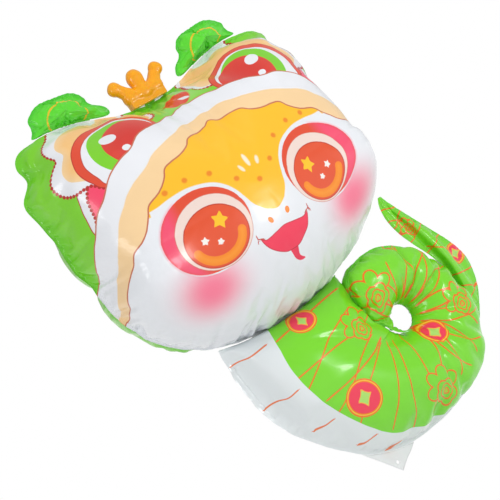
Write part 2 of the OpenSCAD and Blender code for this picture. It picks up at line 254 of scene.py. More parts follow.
class Balloon:
    """Two sheets welded round a closed outline and inflated. The outline is seen from the front,
    anticlockwise, about its middle, in metres."""

    def __init__(self, name, outline, middle, depth, rings, seed, weld=WELD, crimp=2.0 * MM):
        self.name = name
        self.middle = np.asarray(middle, float)
        self.depth = depth
        self.weld = weld
        self.seed = seed
        self.crimp = crimp
        spokes = np.asarray(outline) - self.middle
        turn = np.unwrap(np.arctan2(spokes[:, 1], spokes[:, 0]))
        order = np.linspace(0, 2 * math.pi, 721)
        reach = np.hypot(spokes[:, 0], spokes[:, 1])
        self.reach = np.interp(order, turn - 2 * math.pi * np.floor(turn[0] / (2 * math.pi)), reach,
                               period=2 * math.pi)
        self.order = order
        self.arcs = np.array([arc_of(r, depth) for r in self.reach])
        self.length = self.arcs[:, -1]
        rim = self.reach[:, None] * np.stack([np.cos(order), np.sin(order)], axis=1)
        steps = np.hypot(*np.diff(rim, axis=0).T)
        self.run = np.concatenate([[0], np.cumsum(steps)])
        self.shares, self.turns, self.faces = disk(rings)
        self.settle()

    def at(self, table, turn):
        return np.interp(turn % (2 * math.pi), self.order, table)

    def dome(self, share, turn):
        """Where points of the flat sheet lie on the smooth inflated sheet: the distance from the
        middle and the height."""
        length = self.at(self.length, turn)
        reach = self.at(self.reach, turn)
        near = np.rint(np.asarray(turn) % (2 * math.pi) / (2 * math.pi) * 720).astype(int)
        u = np.array([np.interp(s * self.arcs[k][-1], self.arcs[k], MERIDIAN) for s, k in zip(share, near)])
        return u * reach, self.depth * puff(u), length

    def settle(self):
        """Fills the balloon and keeps each sheet's points."""
        share = self.shares
        turn = self.turns
        out, up, length = self.dome(share, turn)
        way = np.stack([np.cos(turn), np.sin(turn)], axis=1)
        flat = share[:, None] * length[:, None] * way
        count = len(share)
        rim = share > 1 - 1e-9
        rng = np.random.default_rng(self.seed)
        waves = np.zeros(count)
        for cycles in (19, 31, 47):
            waves += np.sin(cycles * turn + rng.uniform(0, 6.28)) / 3
        out = out + np.where(rim, waves * self.crimp * 0.6, 0)
        drawn_y = np.where(rim, -np.roll(waves, 3) * self.crimp, -up)
        flat_3d = np.stack([flat[:, 0], -0.2 * up, flat[:, 1]], axis=1)
        drawn = np.stack([out * way[:, 0], drawn_y, out * way[:, 1]], axis=1)
        inside = np.flatnonzero(~rim)
        rear_index = np.arange(count)
        rear_index[inside] = count + np.arange(len(inside))
        turned = np.array([1, -1, 1])
        flat_all = np.concatenate([flat_3d, flat_3d[inside] * turned])
        flat_all[:, 1] += rng.normal(0, 0.0004, len(flat_all))
        drawn_all = np.concatenate([drawn, drawn[inside] * turned])
        rear_faces = [tuple(int(rear_index[i]) for i in reversed(f)) for f in self.faces]
        settled = inflate(self.name, flat_all, drawn_all, self.faces + rear_faces, np.flatnonzero(rim),
                          self.pressure(), 45)
        self.sheets = {"front": settled[:count], "rear": settled[rear_index]}
        self.flat = flat
        self.rim = np.flatnonzero(rim)

    def pressure(self):
        return 30.0

    def film(self, side, name, levels, deepest=2.6 * MM):
        """The front or rear sheet as an object, with its weld and its creases."""
        points = self.sheets[side].copy()
        turn = self.turns[self.rim]
        away = np.stack([np.cos(turn), np.zeros(len(turn)), np.sin(turn)], axis=1)
        flat_way = away[:, [0, 2]]
        edge = points[self.rim] + self.weld * away
        count = len(points)
        faces = list(self.faces)
        ring = len(self.rim)
        for i in range(ring):
            j = (i + 1) % ring
            faces.append((int(self.rim[i]), count + i, count + j, int(self.rim[j])))
        if side == "rear":
            faces = [tuple(reversed(f)) for f in faces]
        all_points = np.concatenate([points, edge])
        all_flat = np.concatenate([self.flat, self.flat[self.rim] + self.weld * flat_way])
        obj = film_object(name, all_points, faces, all_flat, levels)
        flat = np.stack([values_of(obj, "flat_x"), values_of(obj, "flat_z")], axis=1)
        turn = np.arctan2(flat[:, 1], flat[:, 0])
        radius = np.hypot(flat[:, 0], flat[:, 1])
        depth = self.at(self.length, turn) - radius
        run = self.at(self.run, turn)
        crease = gathers(run, depth, self.run[-1], 15 * MM, self.seed + (side == "rear"))
        facing = -1 if side == "front" else 1
        place = points_of(obj)
        out, up, _ = self.dome(np.clip(radius / self.at(self.length, turn), 0, 1), turn)
        calm = np.stack([out * np.cos(turn), facing * up, out * np.sin(turn)], axis=1)
        place += (self.calm * np.clip(depth / (60 * MM), 0, 1))[:, None] * (calm - place)
        widest = np.abs(place[:, 1]).max()
        place[:, 1] *= (self.depth - 1.5 * MM) / widest
        place -= deepest * crease[:, None] * normals_of(obj) * (depth > 0)[:, None]
        pinch = crease * np.exp(-np.abs(depth) / (8 * MM)) * 0.9 * MM
        outward = np.stack([np.cos(turn), np.zeros(len(turn)), np.sin(turn)], axis=1)
        place -= pinch[:, None] * outward
        place[:, 1] += facing * (0.12 * MM + 0.3 * MM * (depth > 2 * MM))
        place += np.array([self.middle[0], 0, self.middle[1]]) + np.array([self.at_x, 0, self.at_z])
        move_points(obj, place)
        store(obj, "inward", depth)
        store(obj, "along", run)
        return obj

    at_x = 0.0
    at_z = 0.0
    calm = 0.6


# ---- Head ----

# Right half of the hood's outline from the cheek to the dip between the brow bulges, as shares of
# the half width and half height, and the power of the rounded cheek and chin.
HOOD = [(0.92, 0), (0.955, 0.16), (0.965, 0.5), (1, 0.75), (0.975, 0.93), (0.89, 1.12), (0.74, 1.17),
        (0.56, 1.165), (0.38, 1.105), (0.2, 1.03), (0.08, 1.004), (0, 1)]
CHEEK = 0.92
CHIN_POWER = 2.3
chin_turn = np.radians(np.linspace(0, 90, 40, endpoint=False))
chin_x = CHEEK * np.sin(chin_turn) ** (2 / CHIN_POWER)
chin = np.stack([chin_x, -np.cos(chin_turn) ** (2 / CHIN_POWER)], axis=1)
half_hood = np.concatenate([chin, smooth(HOOD, 8)])
hood_outline = np.concatenate([half_hood, half_hood[-2:0:-1] * [-1, 1]]) * [HEAD_HALF_W, HEAD_HALF_H]


class Head(Balloon):
    at_x = HEAD_X
    at_z = HEAD_Z


head = Head("head", hood_outline, (0, 0), HEAD_DEPTH, 36, 11)
head_front = head.film("front", "head_front", 2)
head_rear = head.film("rear", "head_rear", 1)


# ---- Print outlines ----

FAR = 30 * MM


def trace(points, path, closed=True):
    """Signed distance from points to a path, negative inside or on its right, and how far along
    the path the nearest place is. Distances are cut off at FAR."""
    path = np.asarray(path, float)
    low = path.min(axis=0) - FAR
    high = path.max(axis=0) + FAR
    close = np.flatnonzero(((points > low) & (points < high)).all(axis=1))
    spot = points[close]
    ends = np.roll(path, -1, axis=0) if closed else path[1:]
    near = np.full(len(spot), FAR)
    along = np.zeros(len(spot))
    inside = np.zeros(len(spot), bool)
    right = np.zeros(len(spot), bool)
    start = 0.0
    for p, q in zip(path, ends):
        edge = q - p
        size = max(math.hypot(*edge), 1e-9)
        reach = spot - p
        share = np.clip(reach @ edge / size**2, 0, 1)
        gap = np.hypot(*(reach - share[:, None] * edge).T)
        closer = gap < near
        near[closer] = gap[closer]
        along[closer] = start + share[closer] * size
        right[closer] = (reach[:, 0] * edge[1] - reach[:, 1] * edge[0] > 0)[closer]
        if closed:
            crosses = (p[1] > spot[:, 1]) != (q[1] > spot[:, 1])
            at = p[0] + (spot[:, 1] - p[1]) * edge[0] / (edge[1] if edge[1] else 1e-12)
            inside ^= crosses & (spot[:, 0] < at)
        start += size
    distance = np.full(len(points), FAR)
    run = np.zeros(len(points))
    distance[close] = np.where(inside if closed else right, -near, near)
    run[close] = along
    return distance, run


def oval(centre, half, turn=0.0, count=48):
    angle = np.linspace(0, 2 * math.pi, count, endpoint=False)
    x = half[0] * np.cos(angle)
    z = half[1] * np.sin(angle)
    c = math.cos(math.radians(turn))
    s = math.sin(math.radians(turn))
    return np.stack([centre[0] + c * x - s * z, centre[1] + s * x + c * z], axis=1)


def star(centre, radius, turn=0.0, waist=0.52):
    angle = np.radians(turn + 90 + 36 * np.arange(10))
    reach = radius * np.where(np.arange(10) % 2, waist, 1)
    return np.stack([centre[0] + reach * np.cos(angle), centre[1] + reach * np.sin(angle)], axis=1)


def petals(centre, radius, count, depth, turn=0.0):
    """A ring of round petals."""
    angle = np.linspace(0, 2 * math.pi, 12 * count, endpoint=False)
    reach = radius * (1 - depth + depth * np.abs(np.sin(count * (angle - math.radians(turn)) / 2)) ** 0.7)
    return np.stack([centre[0] + reach * np.cos(angle), centre[1] + reach * np.sin(angle)], axis=1)


def mirrored(points):
    return np.asarray(points, float)[::-1] * [-1, 1]


def nearest_of(distances, closed=True):
    """The signed distance to the nearest of several separate shapes or lines."""
    stacked = np.stack(distances)
    pick = np.abs(stacked).argmin(axis=0)
    nearest = np.take_along_axis(stacked, pick[None], 0)[0]
    inside = stacked.min(axis=0)
    return np.where((inside < 0) & closed, inside, nearest)


class Sheet:
    """The print of one film: shapes in millimetres on the sheet, kept as values of its points."""

    def __init__(self, obj):
        self.obj = obj
        self.flat = np.stack([values_of(obj, "flat_x"), values_of(obj, "flat_z")], axis=1)

    def shape(self, key, *paths, closed=True, keep=None):
        """Keeps the distance to the paths under key, only where keep is true if it is given."""
        found = [trace(self.flat, np.asarray(p, float) * MM, closed) for p in paths]
        distance = nearest_of([d for d, _ in found], closed)
        if keep is not None:
            distance = np.where(keep, distance, FAR)
        store(self.obj, key, distance)
        if not closed:
            store(self.obj, key + "_near", np.abs(distance))
        return found


# ---- Ears ----

EAR_X = 141
EAR_HALF_W = 76
EAR_H = 57
EAR_FOOT = 222
EAR = [(0.9, 0.26), (0.72, 0.47), (0.68, 0.76), (0.36, 1), (-0.03, 0.97), (-0.38, 0.91), (-0.56, 0.7),
       (-0.62, 0.42), (-0.84, 0.24), (-0.94, 0.02)]
EAR_CLEAR = 8 * MM
lobes = smooth(EAR, 6) * [EAR_HALF_W, EAR_H] + [EAR_X, EAR_FOOT]
hood_way = np.roll(hood_outline, -1, axis=0) - np.roll(hood_outline, 1, axis=0)
hood_out = np.stack([hood_way[:, 1], -hood_way[:, 0]], axis=1) / np.hypot(*hood_way.T)[:, None]
hood_edge = hood_outline + EAR_CLEAR * hood_out
over = (hood_edge[:, 1] > 0.8 * HEAD_HALF_H) & (hood_edge[:, 0] > 0)
under_ear = hood_edge[over][np.argsort(hood_edge[over][:, 0])]
foot_x = np.linspace(EAR_X - 0.9 * EAR_HALF_W, EAR_X + 0.86 * EAR_HALF_W, 24) * MM
ear_foot = np.stack([foot_x, np.interp(foot_x, under_ear[:, 0], under_ear[:, 1])], axis=1)
right_outline = np.concatenate([lobes * MM, ear_foot])
left_outline = (right_outline * [-1, 1])[::-1]


class Ear(Balloon):
    at_x = HEAD_X
    at_z = HEAD_Z
    calm = 0.62


ears = {}
for side, outline, seed in (("left", left_outline, 21), ("right", right_outline, 22)):
    centre = (math.copysign(EAR_X + 1, outline[0][0]) * MM, (EAR_FOOT + 0.5 * EAR_H) * MM)
    ear = Ear(side + "_ear", outline, centre, 22 * MM, 15, seed, weld=2.5 * MM, crimp=1.6 * MM)
    for sheet in ("front", "rear"):
        ears[side, sheet] = ear.film(sheet, f"{side}_ear_{sheet}", 2 if sheet == "front" else 1, 1.3 * MM)


# ---- Balloons along a row of stations ----

class Tube:
    """Two sheets welded along both sides of a row of stations and inflated. A station is the outer
    and inner point of the seam, the half thickness, how far forward the outer edge stands, the
    outer weld's width, and how much of the film's spare width lies outside the inner edge."""

    def __init__(self, name, stations, fine, across, seed, crimp, frames=45, stretch=None):
        self.name = name
        rows = smooth(stations, fine)
        self.outer = rows[:, 0:2]
        self.inner = rows[:, 2:4]
        self.thick = np.clip(rows[:, 4], 0.2 * MM, None)
        self.forward = rows[:, 5]
        self.weld = rows[:, 6]
        self.outward = rows[:, 7]
        self.stretch = np.zeros(len(rows)) if stretch is None else smooth(stretch, fine)[:, 0]
        self.across = across
        self.seed = seed
        self.crimp = crimp
        self.frames = frames
        self.fine = fine

    def settle(self, pressure, dip=None):
        """Fills the tube. dip moves the seam plane's points to follow a neighbour."""
        rows = len(self.outer)
        steps = self.across
        share = np.linspace(-1, 1, steps + 1)
        span = self.outer - self.inner
        width = np.hypot(*span.T)
        unit = span / width[:, None]
        middle = (self.outer + self.inner) / 2
        plane = np.empty((rows, steps + 1, 2))
        up = np.empty((rows, steps + 1))
        flat = np.empty((rows, steps + 1, 2))
        self.half_arc = np.empty(rows)
        for k in range(rows):
            arc = arc_of(width[k] / 2, self.thick[k])
            self.half_arc[k] = arc[-1]
            u = np.sign(share) * np.interp(np.abs(share) * arc[-1], arc, MERIDIAN)
            plane[k] = middle[k] + unit[k] * (u * width[k] / 2)[:, None]
            up[k] = self.thick[k] * puff(u)
            centre = middle[k] + unit[k] * self.outward[k] * (arc[-1] - width[k] / 2)
            flat[k] = centre + unit[k] * (share * arc[-1])[:, None]
            flat[k, :, 1] += self.stretch[k]
        lean = -self.forward[:, None] * (share[None] + 1) / 2
        if dip is not None:
            plane = dip(plane)
        rng = np.random.default_rng(self.seed)
        self.rim_run = np.concatenate([[0], np.cumsum(np.hypot(*np.diff(self.outer, axis=0).T))])
        waves = np.zeros(rows)
        for pitch in (23, 37, 61):
            waves += np.sin(self.rim_run / (pitch * MM) * 6.283 + rng.uniform(0, 6.28)) / 3
        wavy = self.crimp * np.clip(self.weld / WELD, 0.35, 1)
        plane[:, -1] += unit * (waves * wavy * 0.5)[:, None]
        edge_y = np.zeros((rows, steps + 1))
        edge_y[:, -1] = np.roll(waves, 1) * wavy
        border = np.zeros((rows, steps + 1), bool)
        border[0] = border[-1] = True
        border[:, 0] = border[:, -1] = True
        count = rows * (steps + 1)
        index = np.arange(count).reshape(rows, steps + 1)

        def stacked(xz, y):
            return np.stack([xz[..., 0].ravel(), y.ravel(), xz[..., 1].ravel()], axis=1)

        drawn_front = stacked(plane, lean + np.where(border, edge_y, -up))
        drawn_rear = stacked(plane, lean + np.where(border, edge_y, up))
        flat_front = stacked(flat, lean - 0.2 * up)
        flat_rear = stacked(flat, lean + 0.2 * up)
        inside = np.flatnonzero(~border.ravel())
        rear_index = np.arange(count)
        rear_index[inside] = count + np.arange(len(inside))
        faces = []
        for k in range(rows - 1):
            for m in range(steps):
                corners = (index[k, m], index[k, m + 1], index[k + 1, m + 1], index[k + 1, m])
                faces.append(tuple(int(c) for c in corners))
        rear_faces = [tuple(int(rear_index[i]) for i in reversed(f)) for f in faces]
        flat_all = np.concatenate([flat_front, flat_rear[inside]])
        flat_all[:, 1] += rng.normal(0, 0.0004, len(flat_all))
        drawn_all = np.concatenate([drawn_front, drawn_rear[inside]])
        settled = inflate(self.name, flat_all, drawn_all, faces + rear_faces, np.flatnonzero(border.ravel()),
                          pressure, self.frames)
        self.sheets = {"front": settled[:count], "rear": settled[rear_index]}
        self.smooth_sheets = {"front": drawn_front, "rear": drawn_rear}
        self.faces = faces
        self.plane = plane.reshape(-1, 2)
        self.row = np.repeat(np.arange(rows) / self.fine, steps + 1)
        self.side = np.tile(share, rows)
        self.index = index
        self.unit = unit

    def film(self, side, name, levels, deepest, calm, inner_gathers=0.0):
        """The front or rear sheet as an object, with its outer weld and its creases."""
        points = self.sheets[side] + calm * (self.smooth_sheets[side] - self.sheets[side])
        rim = self.index[:, -1]
        out = np.stack([self.unit[:, 0], np.zeros(len(rim)), self.unit[:, 1]], axis=1)
        edge = points[rim] + self.weld[:, None] * out
        count = len(points)
        faces = list(self.faces)
        for k in range(len(rim) - 1):
            faces.append((int(rim[k]), count + k, count + k + 1, int(rim[k + 1])))
        if side == "rear":
            faces = [tuple(reversed(f)) for f in faces]
        all_points = np.concatenate([points, edge])
        plane = np.concatenate([self.plane, edge[:, [0, 2]]])
        extra = {"station": np.concatenate([self.row, np.arange(len(rim)) / self.fine]),
                 "across": np.concatenate([self.side, 1 + self.weld / self.half_arc])}
        obj = film_object(name, all_points, faces, plane, levels, extra)
        row = values_of(obj, "station")
        across = values_of(obj, "across")
        rows = np.arange(len(rim)) / self.fine
        half = np.interp(row, rows, self.half_arc)
        run = np.interp(row, rows, self.rim_run)
        depth = (1 - across) * half
        crease = gathers(run, depth, self.rim_run[-1], 13 * MM, self.seed + (side == "rear"), closed=False,
                         longest=45 * MM)
        normals = normals_of(obj)
        place = points_of(obj)
        place -= deepest * crease[:, None] * normals * (depth > 0)[:, None]
        if inner_gathers:
            near = gathers(run * 0.45, (1 + across) * half, self.rim_run[-1] * 0.45, 7 * MM,
                           self.seed + 5 + (side == "rear"), closed=False, longest=26 * MM)
            place -= inner_gathers * near[:, None] * normals
        pinch = crease * np.exp(-np.abs(depth) / (8 * MM)) * 0.9 * MM
        out_x = np.interp(row, rows, self.unit[:, 0])
        out_z = np.interp(row, rows, self.unit[:, 1])
        place -= pinch[:, None] * np.stack([out_x, np.zeros(len(row)), out_z], axis=1)
        place[:, 1] += 0.12 * MM * (-1 if side == "front" else 1)
        move_points(obj, place)
        store(obj, "inward", depth)
        store(obj, "along", run)
        return obj


# ---- Body ----

NECK_TOP = 288
# The neck's stations: how far down, and the outer and inner edge's distance from the head's middle
NECK = [(0, -134, 115), (4, -134, 113), (12, -135, 109), (24, -136, 105), (42, -136, 101), (66, -134, 101),
        (92, -129, 109), (122, -119, 127)]
NECK_CLOSE = 75
# The coil's stations: the angle round the opening, the outer radius, and the inner radius as a share
# of the opening's
EYE = np.array([154, 181])
EYE_R = 23
COIL = [(190, 280, 2.25), (204, 252, 1.9), (218, 232, 1.6), (233, 207, 1.4), (248, 184, 1.12), (264, 170, 1),
        (280, 163, 1), (298, 158, 1), (316, 152, 1), (334, 143, 1), (352, 132, 1), (370, 125, 1),
        (388, 121, 1), (406, 119, 1), (424, 118, 1), (442, 119, 1), (458, 121, 1), (472, 124, 1),
        (484, 122, 1), (496, 100, 1), (507, 86, 1), (518, 72, 1), (530, 50, 1), (545, 42, 0.98),
        (560, 35, 0.96), (575, 30, 0.95), (590, 26, 0.95)]
CURL_FORWARD = 26
FINE = 4


def half_thickness(half_width):
    return min(0.95 * half_width, 16 + 0.6 * half_width)


def body_stations():
    """The body's stations from the neck's closed top to the free end, and how far the flat film
    reaches above each one."""
    rows = []
    stretch = []
    close_arc = arc_of(NECK_CLOSE, 82)
    for down, outer, inner in NECK:
        left = HEAD_X / MM + outer
        right = HEAD_X / MM + inner
        away = max(1 - down / NECK_CLOSE, 0)
        full = half_thickness((right - left) / 2) * math.sqrt(1 - away**2)
        rows.append((left, NECK_TOP - down, right, NECK_TOP - down, full, 0, 4, 0))
        stretch.append([0.5 * (np.interp(away, MERIDIAN, close_arc) - away * NECK_CLOSE) * MM])
    for turn, outer, inner in COIL:
        way = np.array([math.cos(math.radians(turn)), math.sin(math.radians(turn))])
        far = EYE + outer * way
        near = EYE + inner * EYE_R * way
        full = half_thickness((outer - inner * EYE_R) / 2)
        forward = CURL_FORWARD * (1 - math.cos(math.pi * min(max((turn - 375) / 105, 0), 1))) / 2
        weld = 4 if turn < 470 else 2
        rows.append((*far, *near, full, forward, weld, min((turn - 190) / 70, 1)))
        stretch.append([0])
    return np.array(rows) * [MM, MM, MM, MM, MM, MM, MM, 1], np.array(stretch)


def under_chin(plane):
    """Moves the neck's top up at its ends, as the chin's curve does."""
    x = np.abs(plane[..., 0] - HEAD_X) / (CHEEK * HEAD_HALF_W)
    rise = HEAD_HALF_H * (1 - np.clip(1 - np.clip(x, 0, 1) ** CHIN_POWER, 0, 1) ** (1 / CHIN_POWER))
    down = np.clip(NECK_TOP * MM - plane[..., 1], 0, None)
    neck = np.arange(len(plane)) < FINE * len(NECK)
    moved = plane.copy()
    moved[..., 1] += np.where(neck[:, None], rise * np.exp(-down / (30 * MM)), 0)
    return moved


stations, stretch = body_stations()
body = Tube("body", stations, FINE, 26, 31, 1.8 * MM, stretch=stretch)
body.settle(30.0, under_chin)
body_front = body.film("front", "body_front", 2, 2.2 * MM, 0.35, 1.6 * MM)
body_rear = body.film("rear", "body_rear", 1, 2.2 * MM, 0.35, 1.6 * MM)

# ---- Tail ----

TAIL_FOOT = 98
TAIL_H = 268
# The tail's stations: the share of its height, and the outer and inner edges
TAIL = [(0, 292, 288), (0.08, 309, 291), (0.19, 328, 293), (0.32, 338, 292.5), (0.42, 336, 287),
        (0.53, 324, 274), (0.64, 307, 258), (0.75, 290, 245), (0.86, 273, 239), (0.95, 260, 242),
        (1, 254, 249)]
tail_rows = [(out, TAIL_FOOT + s * TAIL_H, inn, TAIL_FOOT + s * TAIL_H, 0.4 * (out - inn), 0, 1.5, 0)
             for s, out, inn in TAIL]
tail = Tube("tail", np.array(tail_rows) * [MM, MM, MM, MM, MM, MM, MM, 1], 7, 10, 41, 1.2 * MM)
tail.settle(60.0)
tail_front = tail.film("front", "tail_front", 2, 1.8 * MM, 0.2)
tail_rear = tail.film("rear", "tail_rear", 1, 1.8 * MM, 0.2)

# ---- Crown ----

CROWN_FOOT = 202.5
FOOT_BAR = (68, 20, 15)
BARS = [(20, 52, 13)]
# Each prong's places from its foot to its ball: x, height above the foot, radius
PRONGS = [[(-22, 22, 13), (-31, 33, 10.5), (-37, 40, 9.5), (-41.5, 44, 12)],
          [(0, 20, 16), (0, 33, 12.5), (0, 46.5, 14)],
          [(22, 22, 13), (31, 33, 10.5), (37, 40, 9.5), (41.5, 44, 12)]]


def crown():
    """The crown's two films: a soft puffed band with three prongs that end in balls."""
    bpy.ops.object.select_all(action="DESELECT")
    parts = []

    def ball(x, z, radius):
        bpy.ops.mesh.primitive_uv_sphere_add(segments=32, ring_count=16, radius=radius * MM,
                                             location=(x * MM, 0, (CROWN_FOOT + z) * MM))
        parts.append(bpy.context.object)

    def post(a, b):
        start = Vector((a[0], 0, CROWN_FOOT + a[1])) * MM
        end = Vector((b[0], 0, CROWN_FOOT + b[1])) * MM
        bpy.ops.mesh.primitive_cone_add(vertices=32, radius1=a[2] * MM, radius2=b[2] * MM,
                                        depth=(end - start).length, location=(start + end) / 2,
                                        rotation=(end - start).to_track_quat("Z", "Y").to_euler())
        parts.append(bpy.context.object)
        ball(*a)
        ball(*b)

    bpy.ops.mesh.primitive_cube_add(size=1, location=(0, 0, (CROWN_FOOT + FOOT_BAR[2] / 2 + 0.5) * MM))
    bpy.context.object.scale = Vector(FOOT_BAR) * MM
    parts.append(bpy.context.object)
    for height, width, radius in BARS:
        post((-width / 2, height, radius), (width / 2, height, radius))
    for prong in PRONGS:
        for low, high in zip(prong, prong[1:]):
            post(low, high)
    for part in parts:
        part.select_set(True)
    bpy.context.view_layer.objects.active = parts[0]
    bpy.ops.object.join()
    whole = bpy.context.object
    bpy.ops.object.transform_apply(location=True, rotation=True, scale=True)
    one_skin = whole.modifiers.new("One skin", "REMESH")
    one_skin.mode = "VOXEL"
    one_skin.voxel_size = 1.1 * MM
    bpy.ops.object.modifier_apply(modifier="One skin")
    soften = whole.modifiers.new("Soften", "SMOOTH")
    soften.factor = 0.6
    soften.iterations = 12
    bpy.ops.object.modifier_apply(modifier="Soften")
    place = points_of(whole)
    dents = np.array([0.8 * math.sin(310 * x + 2) * math.sin(260 * z + 1) for x, _, z in place])
    place -= 0.6 * MM * dents[:, None] * normals_of(whole)
    place[:, 1] *= 0.92
    place += [HEAD_X, 0, HEAD_Z]
    move_points(whole, place)
    films = []
    for name, keep in (("crown_front", -1), ("crown_rear", 1)):
        half = whole.copy()
        half.data = whole.data.copy()
        half.name = name
        half.data.name = name
        bpy.context.collection.objects.link(half)
        mesh = bmesh.new()
        mesh.from_mesh(half.data)
        everything = mesh.verts[:] + mesh.edges[:] + mesh.faces[:]
        bmesh.ops.bisect_plane(mesh, geom=everything, plane_co=(0, keep * 0.1 * MM, 0),
                               plane_no=(0, -keep, 0), clear_outer=True)
        mesh.to_mesh(half.data)
        mesh.free()
        half.data.shade_smooth()
        films.append(half)
    bpy.data.objects.remove(whole)
    return films


crown_front, crown_rear = crown()


# ---- Inflation tab ----

TAB = [(0, -16), (46, 8), (60, 60), (-50, 90), (-60, 62)]
HOLE_R = 3


def inflation_tab():
    """The flat pointed film under the coil, with the ribbon hole, lightly rippled."""
    rim = body.sheets["front"][body.index[:, -1]] + body.weld[:, None] * np.stack(
        [body.unit[:, 0], np.zeros(len(body.unit)), body.unit[:, 1]], axis=1)
    low = rim[(rim[:, 2] < 95 * MM) & (rim[:, 0] < 110 * MM)][:, [0, 2]] / MM
    low = low[np.argsort(low[:, 0])]

    def top(x):
        return np.interp(x, low[:, 0], low[:, 1]) - 0.3

    corner = [np.array(p, float) for p in TAB]
    left = corner[4]
    right = corner[1]
    edge = []
    for share in np.linspace(0, 1, 60):
        p = left + (corner[0] - left) * share
        if p[1] <= top(p[0]):
            edge.append(p)
    for share in np.linspace(0, 1, 60)[1:]:
        p = corner[0] + (right - corner[0]) * share
        if p[1] <= top(p[0]):
            edge.append(p)
    xs = np.linspace(edge[-1][0], edge[0][0], 30)[1:-1]
    edge += [np.array([x, top(x)]) for x in xs]
    turns = np.linspace(0, 2 * math.pi, 24, endpoint=False)
    hole = [HOLE_R * np.array([math.cos(-t), math.sin(-t)]) for t in turns]
    inner = []
    outline = np.array(edge)
    for x in np.arange(-52, 50, 3.0):
        for z in np.arange(-14, 60, 3.0):
            within = trace(np.array([[x, z]]) * MM, outline * MM)[0][0] < -1.2 * MM
            if within and math.hypot(x, z) > HOLE_R + 1.4:
                inner.append(np.array([x, z]))
    points = edge + hole + inner
    count = len(edge)
    loops = [list(range(count)), list(range(count, count + len(hole)))]
    verts, _, faces, *_ = delaunay_2d_cdt([Vector(p) for p in points], [], loops, 1, 1e-5)
    kept = []
    for face in faces:
        middle = sum((verts[i] for i in face), Vector((0, 0))) / len(face)
        if middle.length > HOLE_R * 0.96:
            kept.append(face)
    place = []
    for v in verts:
        x, z = v
        free = min(math.hypot(x, z) / 20, 1) * min(max(top(x) - z, 0) / 12, 1)
        ripple = 1.4 * math.sin(0.12 * x + 0.05 * z) * free
        place.append((x * MM, ripple * MM, z * MM))
    mesh = bpy.data.meshes.new("inflation_tab_film")
    mesh.from_pydata(place, [], [tuple(reversed(f)) for f in kept])
    obj = bpy.data.objects.new("inflation_tab_film", mesh)
    bpy.context.collection.objects.link(obj)
    bpy.ops.object.select_all(action="DESELECT")
    obj.select_set(True)
    bpy.context.view_layer.objects.active = obj
    wall = obj.modifiers.new("Film", "SOLIDIFY")
    wall.thickness = 0.5 * MM
    wall.offset = 0
    bpy.ops.object.modifier_apply(modifier="Film")
    obj.data.shade_smooth()
    return obj


tab = inflation_tab()


# ---- Finishes ----

def colour(red, green, blue):
    """Linear colour from display values of 0 to 255."""
    shares = (np.array([red, green, blue]) / 255).tolist()
    return tuple(c / 12.92 if c <= 0.04 else ((c + 0.055) / 1.055) ** 2.4 for c in shares) + (1,)


def new_group(name, inputs, output):
    group = bpy.data.node_groups.new(name, "ShaderNodeTree")
    for label, kind in inputs:
        group.interface.new_socket(label, in_out="INPUT", socket_type=kind)
    group.interface.new_socket(output[0], in_out="OUTPUT", socket_type=output[1])
    return group, group.nodes.new("NodeGroupInput"), group.nodes.new("NodeGroupOutput")


def math_node(tree, kind, a, b=None, clamp=False):
    node = tree.nodes.new("ShaderNodeMath")
    node.operation = kind
    node.use_clamp = clamp
    for socket, value in zip(node.inputs, (a, b)):
        if value is None:
            continue
        if isinstance(value, (int, float)):
            socket.default_value = value
        else:
            tree.links.new(value, socket)
    return node.outputs[0]


def ink_group():
    """Ink over what is under it, on the inner side of an outline."""
    group, start, end = new_group("ink", [("Under", "NodeSocketColor"), ("Ink", "NodeSocketColor"),
                                          ("Distance", "NodeSocketFloat"), ("Grow", "NodeSocketFloat"),
                                          ("Blur", "NodeSocketFloat"), ("Strength", "NodeSocketFloat")],
                                  ("Colour", "NodeSocketColor"))
    reach = math_node(group, "SUBTRACT", start.outputs["Grow"], start.outputs["Distance"])
    share = math_node(group, "DIVIDE", reach, start.outputs["Blur"])
    cover = math_node(group, "ADD", share, 0.5, clamp=True)
    cover = math_node(group, "MULTIPLY", cover, start.outputs["Strength"])
    mix = group.nodes.new("ShaderNodeMix")
    mix.data_type = "RGBA"
    group.links.new(cover, mix.inputs[0])
    group.links.new(start.outputs["Under"], mix.inputs[6])
    group.links.new(start.outputs["Ink"], mix.inputs[7])
    group.links.new(mix.outputs[2], end.inputs[0])
    return group


def creases_group():
    """Height of the fine creases that run in from a weld, and of the film's slight waves."""
    inputs = [(label, "NodeSocketFloat") for label in ("Along", "Inward", "Reach")]
    group, start, end = new_group("fine creases", inputs, ("Height", "NodeSocketFloat"))
    way = group.nodes.new("ShaderNodeCombineXYZ")
    group.links.new(math_node(group, "MULTIPLY", start.outputs["Along"], 260), way.inputs[0])
    group.links.new(math_node(group, "MULTIPLY", start.outputs["Inward"], 28), way.inputs[1])
    fine = group.nodes.new("ShaderNodeTexNoise")
    fine.inputs["Scale"].default_value = 1
    fine.inputs["Detail"].default_value = 3
    group.links.new(way.outputs[0], fine.inputs["Vector"])
    fade = math_node(group, "DIVIDE", start.outputs["Inward"], start.outputs["Reach"])
    fade = math_node(group, "SUBTRACT", 1, fade, clamp=True)
    fade = math_node(group, "MULTIPLY", fade, fade)
    height = math_node(group, "MULTIPLY", fine.outputs[0], fade)
    group.links.new(height, end.inputs[0])
    return group


INK = ink_group()
CREASES = creases_group()


